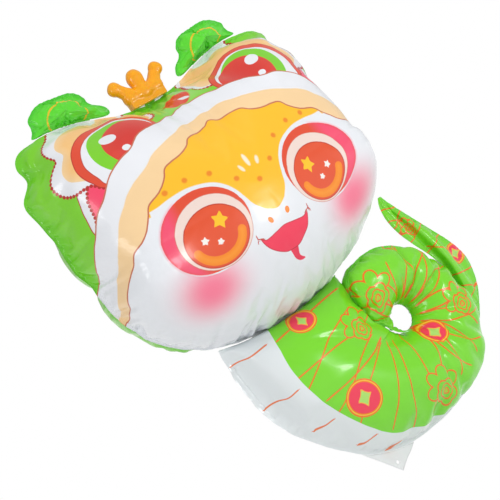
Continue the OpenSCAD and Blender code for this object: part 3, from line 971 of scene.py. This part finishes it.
class Film:
    """A glossy printed film. Each call of ink or line adds one colour over those before it."""

    def __init__(self, name, base, roughness=0.2, coat=0.5, reach=45 * MM, crease=0.35):
        self.material = bpy.data.materials.new(name)
        self.material.use_nodes = True
        self.tree = self.material.node_tree
        self.shader = self.tree.nodes["Principled BSDF"]
        self.shader.inputs["Base Color"].default_value = base
        self.shader.inputs["Roughness"].default_value = roughness
        self.shader.inputs["Coat Weight"].default_value = coat
        self.shader.inputs["Coat Roughness"].default_value = 0.1
        self.shader.inputs["IOR"].default_value = 1.45
        self.base = base
        self.last = None
        self.values = {}
        if crease:
            node = self.tree.nodes.new("ShaderNodeGroup")
            node.node_tree = CREASES
            self.tree.links.new(self.value("along"), node.inputs["Along"])
            self.tree.links.new(self.value("inward"), node.inputs["Inward"])
            node.inputs["Reach"].default_value = reach
            bump = self.tree.nodes.new("ShaderNodeBump")
            bump.inputs["Strength"].default_value = crease
            bump.inputs["Distance"].default_value = 1.2 * MM
            self.tree.links.new(node.outputs[0], bump.inputs["Height"])
            self.tree.links.new(bump.outputs[0], self.shader.inputs["Normal"])

    def value(self, key):
        if key not in self.values:
            node = self.tree.nodes.new("ShaderNodeAttribute")
            node.attribute_name = key
            self.values[key] = node.outputs["Fac"]
        return self.values[key]

    def over(self, distance, ink, grow, blur, strength):
        node = self.tree.nodes.new("ShaderNodeGroup")
        node.node_tree = INK
        if self.last is None:
            node.inputs["Under"].default_value = self.base
        else:
            self.tree.links.new(self.last, node.inputs["Under"])
        node.inputs["Ink"].default_value = ink
        self.tree.links.new(distance, node.inputs["Distance"])
        node.inputs["Grow"].default_value = grow * MM
        node.inputs["Blur"].default_value = blur * MM
        node.inputs["Strength"].default_value = strength
        self.last = node.outputs[0]
        self.tree.links.new(self.last, self.shader.inputs["Base Color"])

    def ink(self, key, ink, grow=0.0, blur=0.8, strength=1.0):
        self.over(self.value(key), ink, grow, blur, strength)

    def line(self, key, ink, wide=1.4, at=0.0, strength=1.0, blur=0.8):
        gap = math_node(self.tree, "ADD", self.value(key), -at * MM)
        self.over(math_node(self.tree, "ABSOLUTE", gap), ink, wide / 2, blur, strength)

    def stroke(self, key, ink, wide):
        """A line with open ends."""
        gap = math_node(self.tree, "ABSOLUTE", self.value(key))
        gap = math_node(self.tree, "SUBTRACT", gap, wide / 2 * MM)
        end = math_node(self.tree, "SUBTRACT", self.value(key + "_near"), (wide / 2 + 2) * MM)
        self.over(math_node(self.tree, "MAXIMUM", gap, end), ink, 0, 0.8, 1)

    def beads(self, key, ink, pitch, radius, at=0.0):
        """Round beads along an outline."""
        off = math_node(self.tree, "FRACT", self.value(key + "_way"))
        off = math_node(self.tree, "MULTIPLY", math_node(self.tree, "SUBTRACT", off, 0.5), pitch * MM)
        gap = math_node(self.tree, "ADD", self.value(key), -at * MM)
        off = math_node(self.tree, "MULTIPLY", off, off)
        gap = math_node(self.tree, "MULTIPLY", gap, gap)
        away = math_node(self.tree, "SQRT", math_node(self.tree, "ADD", off, gap))
        self.over(away, ink, radius, 0.8, 1)


# ---- Print of the face and hood ----

# Right half of each edge of the fringe, from the middle to the cheek's weld, in millimetres on the
# flat sheet from its middle
FRINGE_TOP = [(0, 194), (50, 182), (86, 170), (116, 163), (140, 147), (163, 140), (184, 130), (198, 120),
              (216, 103), (237, 90), (256, 72), (274, 52), (293, 30), (312, 6), (335, -25)]
FRINGE_MIDDLE = [(0, 151), (38, 149), (66, 138), (92, 129), (120, 121), (138, 110), (155, 103), (170, 97),
                 (186, 88), (199, 77), (217, 63), (236, 40), (259, 12), (283, -18), (292, -40), (306, -66)]
FRINGE_LOW = [(0, 131), (14, 125), (34, 122), (56, 117), (66, 107), (84, 99), (104, 96), (118, 92), (128, 79),
              (146, 66), (168, 58), (178, 45), (192, 29), (208, 18), (230, 10), (241, -6), (256, -20),
              (271, -38), (282, -61), (297, -84), (312, -92)]
YELLOW_LOW = [(0, -43), (10, -40), (21, -33), (33, -18), (40, 2), (51, 22), (69, 38), (92, 47), (113, 51),
              (139, 51), (158, 49), (172, 49), (186, 49)]
# The lion's left eye and brow on the hood
BROW = [(-98, 168), (-82, 184), (-66, 195), (-54, 206), (-56, 222), (-70, 260), (-100, 320), (-200, 330),
        (-232, 262), (-243, 247), (-251, 232), (-254, 214), (-249, 199), (-262, 191), (-270, 177),
        (-271, 160), (-264, 144), (-246, 133), (-220, 130), (-196, 112), (-120, 110)]
BROW_INNER = [(-98, 168), (-80, 188), (-64, 204), (-66, 230), (-80, 270), (-112, 300), (-146, 272),
              (-174, 258), (-200, 246), (-222, 231), (-233, 213), (-229, 197), (-240, 187), (-247, 172),
              (-243, 155), (-226, 143), (-200, 130), (-120, 110)]
LION_RING = [(-76, 160), (-71, 182), (-78, 202), (-94, 217), (-118, 227), (-146, 230), (-178, 222),
             (-204, 204), (-221, 182), (-226, 158), (-217, 132), (-198, 112), (-120, 100)]
LION_WHITE = [(-84, 160), (-78, 181), (-86, 198), (-100, 210), (-122, 219), (-146, 222), (-172, 213),
              (-194, 196), (-207, 178), (-212, 158), (-206, 135), (-192, 112), (-120, 100)]
FRILL = [(-240, 136), (-250, 116), (-255, 95), (-256, 60), (-200, 60), (-200, 130)]
FRILL_PINK = [(-220, 134), (-235, 118), (-239, 105), (-242, 90), (-246, 70), (-200, 60), (-198, 122)]
# Way from bead to bead along the brow and the frill
BEAD_PITCH = 6.2
EYE_AT = (-107, -31)
MOUTH = [(-51, -69), (-42, -75), (-24, -73), (-4, -70), (16, -73), (35, -75), (44, -69), (38, -86), (26, -99),
         (10, -108), (-4, -110), (-18, -108), (-33, -99), (-45, -86)]
TONGUE = [(-10, -106), (-9, -118), (-6, -127), (2, -134), (13, -134), (6, -128), (3, -122), (4, -106)]


def both(half):
    """A whole edge from its right half."""
    half = np.array(half, float)
    return np.concatenate([half[::-1], half[1:] * [-1, 1]])


def below(half, sharp=5):
    """Everything on the sheet below an edge."""
    edge = smooth(both(half), sharp)
    return np.concatenate([[(400, edge[0][1] - 80), (400, -500), (-400, -500), (-400, edge[-1][1] - 80)],
                           edge[::-1]])


def pair(path, steps=0):
    """A shape and its mirror image."""
    path = smooth(path, steps, closed=True) if steps else np.asarray(path, float)
    return path, mirrored(path)


def arc(centre, half, first, last):
    turn = np.radians(np.linspace(first, last, 24))
    return np.stack([centre[0] + half[0] * np.cos(turn), centre[1] + half[1] * np.sin(turn)], axis=1)


def draw_face(obj):
    print_of = Sheet(obj)
    fringe = {"fringe_top": FRINGE_TOP, "fringe_middle": FRINGE_MIDDLE, "fringe_low": FRINGE_LOW}
    for key, half in fringe.items():
        distance, _ = trace(print_of.flat, below(half) * MM)
        store(obj, key, distance)
    yellow = np.concatenate([both(YELLOW_LOW), [(-260, 160), (260, 160)]])
    inside, _ = trace(print_of.flat, smooth(yellow, 4, closed=True) * MM)
    store(obj, "yellow", np.maximum(inside, values_of(obj, "fringe_low")))
    for key, path in (("brow", BROW), ("frill", FRILL_PINK)):
        found = print_of.shape(key, *pair(path, 5))
        near = np.abs(np.stack([d for d, _ in found])).argmin(axis=0)
        runs = np.stack([r for _, r in found])
        store(obj, key + "_way", np.take_along_axis(runs, near[None], 0)[0] / (BEAD_PITCH * MM))
    print_of.shape("brow_inner", *pair(BROW_INNER, 5))
    print_of.shape("frill_white", *pair(FRILL, 4))
    print_of.shape("lion_ring", *pair(LION_RING, 5))
    print_of.shape("lion_white", *pair(LION_WHITE, 5))
    print_of.shape("lion_green", *pair(oval((-142, 166), (54, 52))))
    print_of.shape("lion_pupil", *pair(oval((-125, 164), (48, 45))))
    print_of.shape("lion_lights", *pair(oval((-156, 184), (14, 10), -15)), *pair(oval((-143, 152), (7, 5.5))))
    print_of.shape("nose_pad", oval((14, 222), (27, 27)))
    print_of.shape("nose_light", oval((24, 210), (4, 11), 40))
    print_of.shape("patch", oval((10, 226), (62, 40)))
    print_of.shape("eye_ring", *pair(oval((-116, -17), (73, 61), 4)))
    print_of.shape("eye_cream", *pair(oval((-107, -24), (61, 55))))
    print_of.shape("iris", *pair(oval(EYE_AT, (52, 45))))
    glow = arc((-107, -32), (40, 34), 194, 344)
    print_of.shape("iris_glow", glow, glow + [214, 0], closed=False)
    print_of.shape("big_star", *pair(star((-91, -13), 14.5, -32)))
    print_of.shape("small_stars", *pair(star((-127, -29), 7.5, -26)), *pair(star((-106, -41), 6.5, -32)))
    spots = [(-139, 61), (-104, 62), (-66, 52), (-34, 25), (34, 25), (66, 52), (104, 62), (139, 61), (-1, 7)]
    print_of.shape("spots", *[oval(s, (4.6, 4.2), count=20) for s in spots])
    drops = [((-1, 42), (3.4, 11), 0), ((-17, 34), (3, 7), 24), ((14, 34), (3, 7), -24)]
    print_of.shape("drops", *[oval(c, h, t, 24) for c, h, t in drops])
    print_of.shape("nostrils", oval((-21, -53), (4, 5.5), 25, 20), oval((13, -53), (4, 5.5), -25, 20))
    print_of.shape("mouth", smooth(MOUTH, 4, closed=True))
    print_of.shape("tongue", smooth(TONGUE, 4, closed=True))
    smile = [[(-46, -71), (-51, -69), (-55, -68)], [(-57, -72), (-55, -68), (-55, -63)],
             [(40, -71), (45, -69), (49, -68)], [(51, -72), (49, -68), (49, -63)]]
    print_of.shape("smile", *[smooth(s, 5) for s in smile], closed=False)
    flat = print_of.flat / MM
    near = [((flat[:, 0] - x) / 56) ** 2 + ((flat[:, 1] + 97) / 44) ** 2 for x in (-152, 152)]
    store(obj, "blush", np.exp(-1.2 * np.minimum(*near) ** 1.3))
    store(obj, "ring_side", np.clip((np.abs(flat[:, 0]) - 120) / 60, 0, 1))


WHITE = colour(236, 239, 244)
FRINGE_WHITE = colour(238, 240, 245)
HOOD_GREEN = colour(128, 214, 44)
HOOD_LIGHT = colour(158, 222, 108)
DARK_RED = colour(186, 44, 40)
RED = colour(228, 78, 52)
PEACH = colour(250, 214, 162)
DEEP_PEACH = colour(250, 196, 120)
YELLOW = colour(255, 196, 40)
LINE_BROWN = colour(200, 112, 84)
PINK = colour(252, 74, 110)
ORANGE = colour(250, 138, 34)
CREAM = colour(244, 222, 212)


def blend_by(film, key, ink, strength=1.0):
    """A colour mixed in by a value of the sheet instead of an outline."""
    mix = film.tree.nodes.new("ShaderNodeMix")
    mix.data_type = "RGBA"
    share = math_node(film.tree, "MULTIPLY", film.value(key), strength, clamp=True)
    film.tree.links.new(share, mix.inputs[0])
    if film.last is None:
        mix.inputs[6].default_value = film.base
    else:
        film.tree.links.new(film.last, mix.inputs[6])
    mix.inputs[7].default_value = ink
    film.last = mix.outputs[2]
    film.tree.links.new(film.last, film.shader.inputs["Base Color"])


def face_film():
    film = Film("face and hood print", HOOD_GREEN, roughness=0.27, coat=0.22)
    # Painted shade: the green darkens towards the weld, where the film curves away and crimps.
    film.ink("inward", colour(96, 204, 34), grow=16, blur=30, strength=0.5)
    film.ink("patch", HOOD_LIGHT, blur=24, strength=0.8)
    film.ink("nose_pad", RED, blur=3)
    film.ink("nose_light", WHITE, blur=2)
    film.ink("frill_white", FRINGE_WHITE)
    film.line("frill_white", DARK_RED, 1.6)
    film.ink("frill", PINK)
    film.beads("frill", DARK_RED, BEAD_PITCH, 2.6)
    film.ink("brow", FRINGE_WHITE)
    film.line("brow", DARK_RED, 1.3)
    film.beads("brow", DARK_RED, BEAD_PITCH, 2.7, at=0.5)
    film.ink("brow_inner", PEACH, blur=1.2)
    film.ink("brow_inner", DEEP_PEACH, grow=-8, blur=16, strength=0.8)
    film.ink("lion_ring", RED)
    film.line("lion_ring", DARK_RED, 1.4)
    film.ink("lion_white", FRINGE_WHITE)
    film.line("lion_white", DARK_RED, 1.0)
    film.ink("lion_green", colour(126, 212, 42))
    film.ink("lion_pupil", colour(222, 66, 52))
    film.ink("lion_pupil", colour(206, 40, 44), grow=-12, blur=26, strength=0.4)
    film.ink("lion_lights", WHITE)
    film.ink("fringe_top", FRINGE_WHITE)
    film.line("fringe_top", LINE_BROWN, 2.2)
    film.ink("fringe_middle", PEACH, blur=1.8)
    film.ink("fringe_low", WHITE)
    blend_by(film, "blush", colour(255, 118, 150), 0.95)
    film.ink("yellow", YELLOW, blur=1.4)
    film.line("fringe_low", LINE_BROWN, 2.3)
    film.ink("spots", colour(242, 140, 36), blur=2.5)
    film.ink("drops", colour(250, 240, 214), blur=2)
    film.ink("eye_ring", WHITE, grow=2.2)
    film.ink("eye_ring", colour(230, 80, 50))
    side = math_node(film.tree, "SUBTRACT", 0.45, film.value("ring_side"))
    side = math_node(film.tree, "MULTIPLY", side, 20 * MM)
    side = math_node(film.tree, "MAXIMUM", side, film.value("eye_ring"))
    film.over(side, colour(250, 84, 124), 0, 8, 0.85)
    film.ink("eye_cream", CREAM)
    film.line("eye_cream", colour(206, 92, 66), 1.0, strength=0.7)
    film.ink("iris", colour(232, 84, 44))
    film.line("iris", colour(196, 62, 40), 1.6)
    film.ink("iris_glow_near", colour(250, 140, 22), grow=6.8, blur=1.4)
    film.ink("iris_glow_near", colour(255, 166, 44), grow=1.5, blur=8, strength=0.7)
    film.ink("big_star", colour(255, 200, 34))
    film.ink("small_stars", colour(250, 246, 240))
    film.ink("nostrils", ORANGE)
    film.ink("tongue", colour(238, 50, 84))
    film.ink("mouth", colour(246, 56, 88))
    film.line("mouth", colour(196, 40, 56), 1.2)
    film.stroke("smile", colour(196, 70, 60), 1.7)
    return film


# ---- Print of the body and tail ----

# Where the white belly ends: station, and share of the way from the middle to the outer edge
BELLY = [(0, 0.34), (1, 0.35), (3.76, 0.37), (5.7, 0.42), (7, 0.47), (8, 0.51), (8.9, 0.56), (9.7, 0.61),
         (10.5, 0.65), (11.3, 0.69), (12.5, 0.78), (14, 0.92), (15, 1.1), (40, 1.4)]
SCUTES = [[(-157, 279), (-132, 274), (-104, 273)], [(-150, 195), (-130, 188), (-111, 190)],
          [(-110, 123), (-99, 118), (-86, 118)], [(-57, 64), (-47, 59), (-33, 58)],
          [(-8, 28), (0, 25), (12, 24)]]
COINS = [((-33, 267), (25, 17), 0), ((-31, 117), (32.5, 26.5), -33), ((165, 139), (21, 20), 0)]
PEONIES = [((40, 210), 32), ((110, 58), 36), ((234, 152), 28)]
END_PEONY = ((108, 250), 34)
FIRST_LINES = [[(-90, 267), (-14, 270), (62, 276)], [(-102, 204), (-35, 205), (44, 203)],
               [(-76, 124), (-40, 143), (0, 166), (50, 184)], [(-6, 52), (22, 85), (48, 124), (72, 160)],
               [(76, 14), (88, 60), (100, 110), (116, 156)]]
SECOND_LINES = [[(-101, 180), (-61, 202), (-11, 226), (48, 242)],
                [(-86, 150), (-30, 152), (30, 160), (62, 170)],
                [(-54, 87), (-26, 120), (12, 143), (62, 168)], [(34, 27), (50, 77), (66, 118), (88, 156)]]


def spokes(first, last, step, twist, near=27, far=122):
    """Curved lines that run out from the coil's opening."""
    lines = []
    for turn in np.arange(first, last, step):
        points = []
        for share in np.linspace(0, 1, 6):
            angle = math.radians(turn + twist * share**1.4)
            radius = near + (far - near) * share
            points.append(EYE + radius * np.array([math.cos(angle), math.sin(angle)]))
        lines.append(np.array(points))
    return lines


def coin_hole(centre, half):
    """The coin's square hole, whose sides curve inwards."""
    angle = np.linspace(0, 2 * math.pi, 48, endpoint=False)
    return np.stack([centre[0] + half * np.sign(np.cos(angle)) * np.abs(np.cos(angle)) ** 2.7,
                     centre[1] + half * np.sign(np.sin(angle)) * np.abs(np.sin(angle)) ** 2.7], axis=1)


def draw_flowers(print_of, flowers, keeps):
    """Peonies: four petals behind a bloom with a smaller ring of petals and a heart."""
    parts = {"back": [], "petals": [], "inner": [], "heart": []}
    for (centre, radius), keep in zip(flowers, keeps):
        centre = np.array(centre, float)
        bloom = centre + radius * np.array([0.05, -0.25])
        turns = np.radians([18, 72, 126, 180])
        leaves = [oval(centre + 0.64 * radius * np.array([math.cos(t), math.sin(t)]),
                       (0.38 * radius, 0.31 * radius), math.degrees(t), 30) for t in turns]
        shapes = {"back": leaves, "petals": [petals(bloom, 0.62 * radius, 5, 0.24, 10)],
                  "inner": [petals(bloom, 0.36 * radius, 4, 0.24, 40)],
                  "heart": [petals(bloom, 0.15 * radius, 3, 0.3, 20)]}
        for part, paths in shapes.items():
            distance = nearest_of([trace(print_of.flat, path * MM)[0] for path in paths])
            parts[part].append(np.where(keep, distance, FAR))
    for part, distances in parts.items():
        store(print_of.obj, "flower_" + part, nearest_of(distances))


def draw_body(obj):
    print_of = Sheet(obj)
    station = values_of(obj, "station")
    across = values_of(obj, "across")
    neck = station < 23
    end = station >= 22
    belly = np.array(BELLY)
    edge = np.interp(station, belly[:, 0], belly[:, 1])
    rows = np.arange(len(body.half_arc)) / body.fine
    half = np.interp(station, rows, body.half_arc)
    store(obj, "belly", (edge - across) * half)
    print_of.shape("scutes", *[smooth(s, 5) for s in SCUTES], closed=False, keep=neck)
    print_of.shape("coins", *[oval(c, h, t) for c, h, t in COINS], keep=neck)
    print_of.shape("coin_holes", *[coin_hole(c, 0.5 * h[1]) for c, h, _ in COINS], keep=neck)
    draw_flowers(print_of, PEONIES + [END_PEONY], [neck, neck, neck, end])
    ring = (station > 9.5) & (station < 23)
    for key, lines, twist in (("lines_a", FIRST_LINES, 20), ("lines_b", SECOND_LINES, -16)):
        total = np.full(len(station), FAR)
        for paths, keep in ((lines, station < 12), (spokes(262, 450, 25, twist), ring),
                            (spokes(462, 512, 22, twist * 0.6, 25, 95), end)):
            found = [trace(print_of.flat, smooth(p, 5) * MM, closed=False)[0] for p in paths]
            found = np.stack(found)
            pick = np.abs(found).argmin(axis=0)
            line = np.take_along_axis(found, pick[None], 0)[0]
            total = np.where(keep & (np.abs(line) < np.abs(total)), line, total)
        store(obj, key, total)
        store(obj, key + "_near", np.abs(total))


def draw_tail(obj):
    print_of = Sheet(obj)
    everywhere = np.ones(len(print_of.flat), bool)
    print_of.shape("coins", oval((327, 213), (16, 19)))
    print_of.shape("coin_holes", coin_hole((327, 213), 9))
    draw_flowers(print_of, [((266, 296), 19)], [everywhere])
    first = [[(280, 130), (330, 150)], [(286, 186), (345, 176)], [(268, 240), (330, 260)],
             [(240, 322), (280, 306)], [(236, 346), (268, 338)]]
    second = [[(284, 168), (340, 140)], [(276, 250), (318, 226)], [(250, 270), (300, 290)],
              [(240, 306), (276, 328)]]
    print_of.shape("lines_a", *[np.array(p, float) for p in first], closed=False)
    print_of.shape("lines_b", *[np.array(p, float) for p in second], closed=False)
    for key in ("belly", "scutes", "scutes_near"):
        store(obj, key, np.full(len(everywhere), FAR))


BODY_GREEN = colour(124, 222, 40)
LINE_ORANGE = colour(246, 112, 16)


def body_film(name, base=BODY_GREEN):
    film = Film(name, base, roughness=0.24, coat=0.35)
    # Painted shade: the green darkens towards the welds, where the tube curves away and crimps.
    film.ink("inward", colour(84, 202, 34), grow=5, blur=14, strength=0.45)
    for key in ("lines_a", "lines_b"):
        film.stroke(key, LINE_ORANGE, 2.3)
    film.ink("flower_back", BODY_GREEN)
    film.line("flower_back", LINE_ORANGE, 2.4)
    film.ink("flower_petals", BODY_GREEN)
    film.line("flower_petals", LINE_ORANGE, 2.5)
    film.line("flower_inner", LINE_ORANGE, 2.2)
    film.ink("flower_heart", colour(220, 190, 40), strength=0.5)
    film.line("flower_heart", LINE_ORANGE, 2.0)
    film.ink("coins", LINE_ORANGE, grow=0.6)
    film.ink("coins", colour(250, 200, 50), grow=-1.4)
    film.ink("coins", LINE_ORANGE, grow=-3.2)
    film.ink("coins", colour(246, 58, 88), grow=-4.8)
    film.ink("coin_holes", colour(250, 190, 60), grow=1.2)
    film.ink("coin_holes", colour(176, 226, 110))
    film.ink("belly", colour(232, 238, 240))
    film.stroke("scutes", colour(236, 120, 60), 2.2)
    return film


# ---- Looks of each piece ----

# How far the cheeks stand forward, how far the hood's outline dips in, and how far down the ears and
# the crown sit on the head's weld
CHEEK_RISE = 42
DIP = 19
EAR_DROP = 2.5
CROWN_DROP = 1.5


def fuller_cheeks(obj):
    """Both cheeks stand further forward than the smooth dome."""
    x = values_of(obj, "flat_x") / MM
    z = values_of(obj, "flat_z") / MM
    inward = np.clip(values_of(obj, "inward") / (55 * MM), 0, 1)
    rise = np.exp(-((np.abs(x) - 232) / 66) ** 2 - ((z + 45) / 105) ** 2) * inward * (2 - inward)
    place = points_of(obj)
    place[:, 1] -= CHEEK_RISE * MM * rise
    place[:, 0] += 0.35 * CHEEK_RISE * MM * rise * np.sign(x)
    move_points(obj, place)


def dip_hood(obj):
    """The hood's outline dips in on both sides between its upper lobe and the cheek."""
    place = points_of(obj)
    x = (place[:, 0] - HEAD_X) / MM
    z = (place[:, 2] - HEAD_Z) / MM
    near = np.clip((np.abs(x) - 205) / 50, 0, 1)
    place[:, 0] -= DIP * MM * np.exp(-(((z - 183) / 19) ** 2)) * near * np.sign(x)
    move_points(obj, place)


def draw_ear(obj):
    print_of = Sheet(obj)
    (distance, run), = print_of.shape("arc", oval((0, -16), (38, 36)))
    store(obj, "arc_way", run / (3.4 * MM))


for obj in (head_front, head_rear):
    dip_hood(obj)
for drop, objs in ((EAR_DROP, ears.values()), (CROWN_DROP, (crown_front, crown_rear))):
    for obj in objs:
        move_points(obj, points_of(obj) - [0, 0, drop * MM])
fuller_cheeks(head_front)
draw_face(head_front)
for obj in (body_front, body_rear):
    draw_body(obj)
for obj in (tail_front, tail_rear):
    draw_tail(obj)
for obj in ears.values():
    draw_ear(obj)

FACE = face_film().material
hood = Film("hood green", HOOD_GREEN, roughness=0.27, coat=0.25)
# Painted shade: the green darkens towards the weld, where the film curves away and crimps.
hood.ink("inward", colour(90, 200, 32), grow=14, blur=28, strength=0.6)
BODY = body_film("body print").material
TAIL_PRINT = body_film("tail print").material
ear_green = Film("ear green", colour(92, 222, 46), roughness=0.26, coat=0.3, reach=60 * MM, crease=0.35)
# Painted shade: the ear's green darkens towards its weld, where the puffed lobe curves away.
ear_green.ink("inward", colour(52, 184, 36), grow=4, blur=9, strength=0.6)
ear_green.line("arc", colour(214, 196, 40), 3.2, strength=0.6)
ear_green.beads("arc", colour(244, 190, 30), 3.4, 1.5)
tab_white = Film("tab film", colour(246, 249, 250), roughness=0.25, coat=0.3, crease=0)


def crown_material():
    """Glossy orange film that lets some light through."""
    film = Film("crown film", colour(255, 172, 12), roughness=0.28, coat=0.3, crease=0)
    film.shader.inputs["Subsurface Weight"].default_value = 0.25
    film.shader.inputs["Subsurface Radius"].default_value = (1.0, 0.45, 0.1)
    film.shader.inputs["Subsurface Scale"].default_value = 6 * MM
    return film.material


CROWN = crown_material()


def finish_piece(obj, node, on_body, material):
    obj.data.materials.clear()
    obj.data.materials.append(material)
    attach(obj, on_body)
    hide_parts(node)


finish_piece(head_front, "head_front_film", "head", FACE)
finish_piece(head_rear, "head_rear_film", "head", hood.material)
for side in ("left", "right"):
    for sheet in ("front", "rear"):
        finish_piece(ears[side, sheet], f"{side}_ear_{sheet}_film", side + "_ear",
                     ear_green.material)
finish_piece(crown_front, "crown_front_film", "crown", CROWN)
finish_piece(crown_rear, "crown_rear_film", "crown", CROWN)
finish_piece(body_front, "body_front_film", "coil", BODY)
finish_piece(body_rear, "body_rear_film", "coil", BODY)
finish_piece(tail_front, "tail_front_film", "tail", TAIL_PRINT)
finish_piece(tail_rear, "tail_rear_film", "tail", TAIL_PRINT)
finish_piece(tab, "inflation_tab", "coil", tab_white.material)


def foam_material(name, tint):
    """Matte foam adhesive with fine pores."""
    material = bpy.data.materials.new(name)
    material.use_nodes = True
    tree = material.node_tree
    shader = tree.nodes["Principled BSDF"]
    shader.inputs["Roughness"].default_value = 0.8
    shader.inputs["Base Color"].default_value = tint
    place = tree.nodes.new("ShaderNodeTexCoord")
    pores = tree.nodes.new("ShaderNodeTexNoise")
    pores.inputs["Scale"].default_value = 900
    tree.links.new(place.outputs["Object"], pores.inputs["Vector"])
    bump = tree.nodes.new("ShaderNodeBump")
    bump.inputs["Strength"].default_value = 0.3
    bump.inputs["Distance"].default_value = 0.2 * MM
    tree.links.new(pores.outputs[0], bump.inputs["Height"])
    tree.links.new(bump.outputs[0], shader.inputs["Normal"])
    return material


def valve_material():
    """Thin clear film that lies flat inside the weld."""
    material = bpy.data.materials.new("valve film")
    material.use_nodes = True
    tree = material.node_tree
    shader = tree.nodes["Principled BSDF"]
    shader.inputs["Base Color"].default_value = colour(232, 236, 238)
    place = tree.nodes.new("ShaderNodeTexCoord")
    waves = tree.nodes.new("ShaderNodeTexNoise")
    waves.inputs["Scale"].default_value = 90
    tree.links.new(place.outputs["Object"], waves.inputs["Vector"])
    spread = tree.nodes.new("ShaderNodeMapRange")
    spread.inputs["To Min"].default_value = 0.12
    spread.inputs["To Max"].default_value = 0.3
    tree.links.new(waves.outputs[0], spread.inputs["Value"])
    tree.links.new(spread.outputs[0], shader.inputs["Roughness"])
    return material


white_foam = foam_material("white foam adhesive", colour(226, 228, 220))
green_foam = foam_material("green foam adhesive", colour(96, 206, 44))
valve = valve_material()
for name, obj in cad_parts.items():
    if name.endswith("_strip") or name.endswith("_pad"):
        obj.data.materials.clear()
        if "valve" in name:
            obj.data.materials.append(valve)
        elif "neck" in name:
            obj.data.materials.append(white_foam)
        else:
            obj.data.materials.append(green_foam)


# ---- Stage ----

ROLL = -33


def camera():
    """The view from the front, 30 degrees to the viewer's left, with the figure tipped over."""
    data = bpy.data.cameras.new("camera")
    data.lens = 86.4
    data.clip_end = 50
    obj = bpy.data.objects.new("camera", data)
    bpy.context.scene.collection.objects.link(obj)
    obj.location = (-0.9655, -1.6454, 0.435)
    look = Vector((-0.0155, 0, 0.412)) - obj.location
    turn = look.to_track_quat("-Z", "Y")
    obj.rotation_euler = (turn @ Quaternion((0, 0, 1), math.radians(ROLL))).to_euler()
    bpy.context.scene.camera = obj


def softbox(name, place, target, size, power):
    data = bpy.data.lights.new(name, "AREA")
    data.shape = "RECTANGLE"
    data.size = size[0]
    data.size_y = size[1]
    data.energy = power
    obj = bpy.data.objects.new(name, data)
    obj.location = place
    obj.rotation_euler = (Vector(target) - Vector(place)).to_track_quat("-Z", "Y").to_euler()
    bpy.context.scene.collection.objects.link(obj)
    return obj


def studio():
    """A pale floor under the tab, and a world that shows white behind the object."""
    floor_z = cad_box[0][2] - 2 * MM
    bpy.ops.object.select_all(action="DESELECT")
    bpy.ops.mesh.primitive_plane_add(size=30, location=(0, 0, floor_z))
    floor = bpy.context.object
    floor.name = "floor"
    material = bpy.data.materials.new("floor")
    material.use_nodes = True
    tree = material.node_tree
    tree.nodes.remove(tree.nodes["Principled BSDF"])
    end = tree.nodes["Material Output"]
    seen = tree.nodes.new("ShaderNodeEmission")
    seen.inputs["Color"].default_value = (1, 1, 1, 1)
    matt = tree.nodes.new("ShaderNodeBsdfDiffuse")
    matt.inputs["Color"].default_value = (0.9, 0.9, 0.9, 1)
    rays = tree.nodes.new("ShaderNodeLightPath")
    direct = math_node(tree, "MAXIMUM", rays.outputs["Is Camera Ray"], rays.outputs["Is Glossy Ray"])
    part = math_node(tree, "MULTIPLY", direct, 1.0)
    mix = tree.nodes.new("ShaderNodeMixShader")
    tree.links.new(part, mix.inputs[0])
    tree.links.new(matt.outputs[0], mix.inputs[1])
    tree.links.new(seen.outputs[0], mix.inputs[2])
    tree.links.new(mix.outputs[0], end.inputs["Surface"])
    floor.data.materials.append(material)
    world = bpy.data.worlds.new("studio")
    bpy.context.scene.world = world
    world.use_nodes = True
    tree = world.node_tree
    sky = tree.nodes["Background"]
    sky.inputs["Color"].default_value = (1, 1, 1, 1)
    rays = tree.nodes.new("ShaderNodeLightPath")
    shown = math_node(tree, "MAXIMUM", rays.outputs["Is Camera Ray"], rays.outputs["Is Transmission Ray"])
    strength = math_node(tree, "ADD", math_node(tree, "MULTIPLY", shown, 0.45), 0.55)
    tree.links.new(strength, sky.inputs["Strength"])


camera()
bpy.context.scene.view_settings.view_transform = "Standard"
studio()
softbox("key", (0.7, -1.5, 2.1), (0, 0, 0.45), (1.2, 0.9), 17).visible_glossy = False
softbox("side", (-2.0, -0.9, 1.0), (0, 0, 0.4), (0.6, 0.9), 9)
softbox("low front", (0.62, -1.4, 0.2), (0, 0, 0.4), (0.3, 0.22), 3)
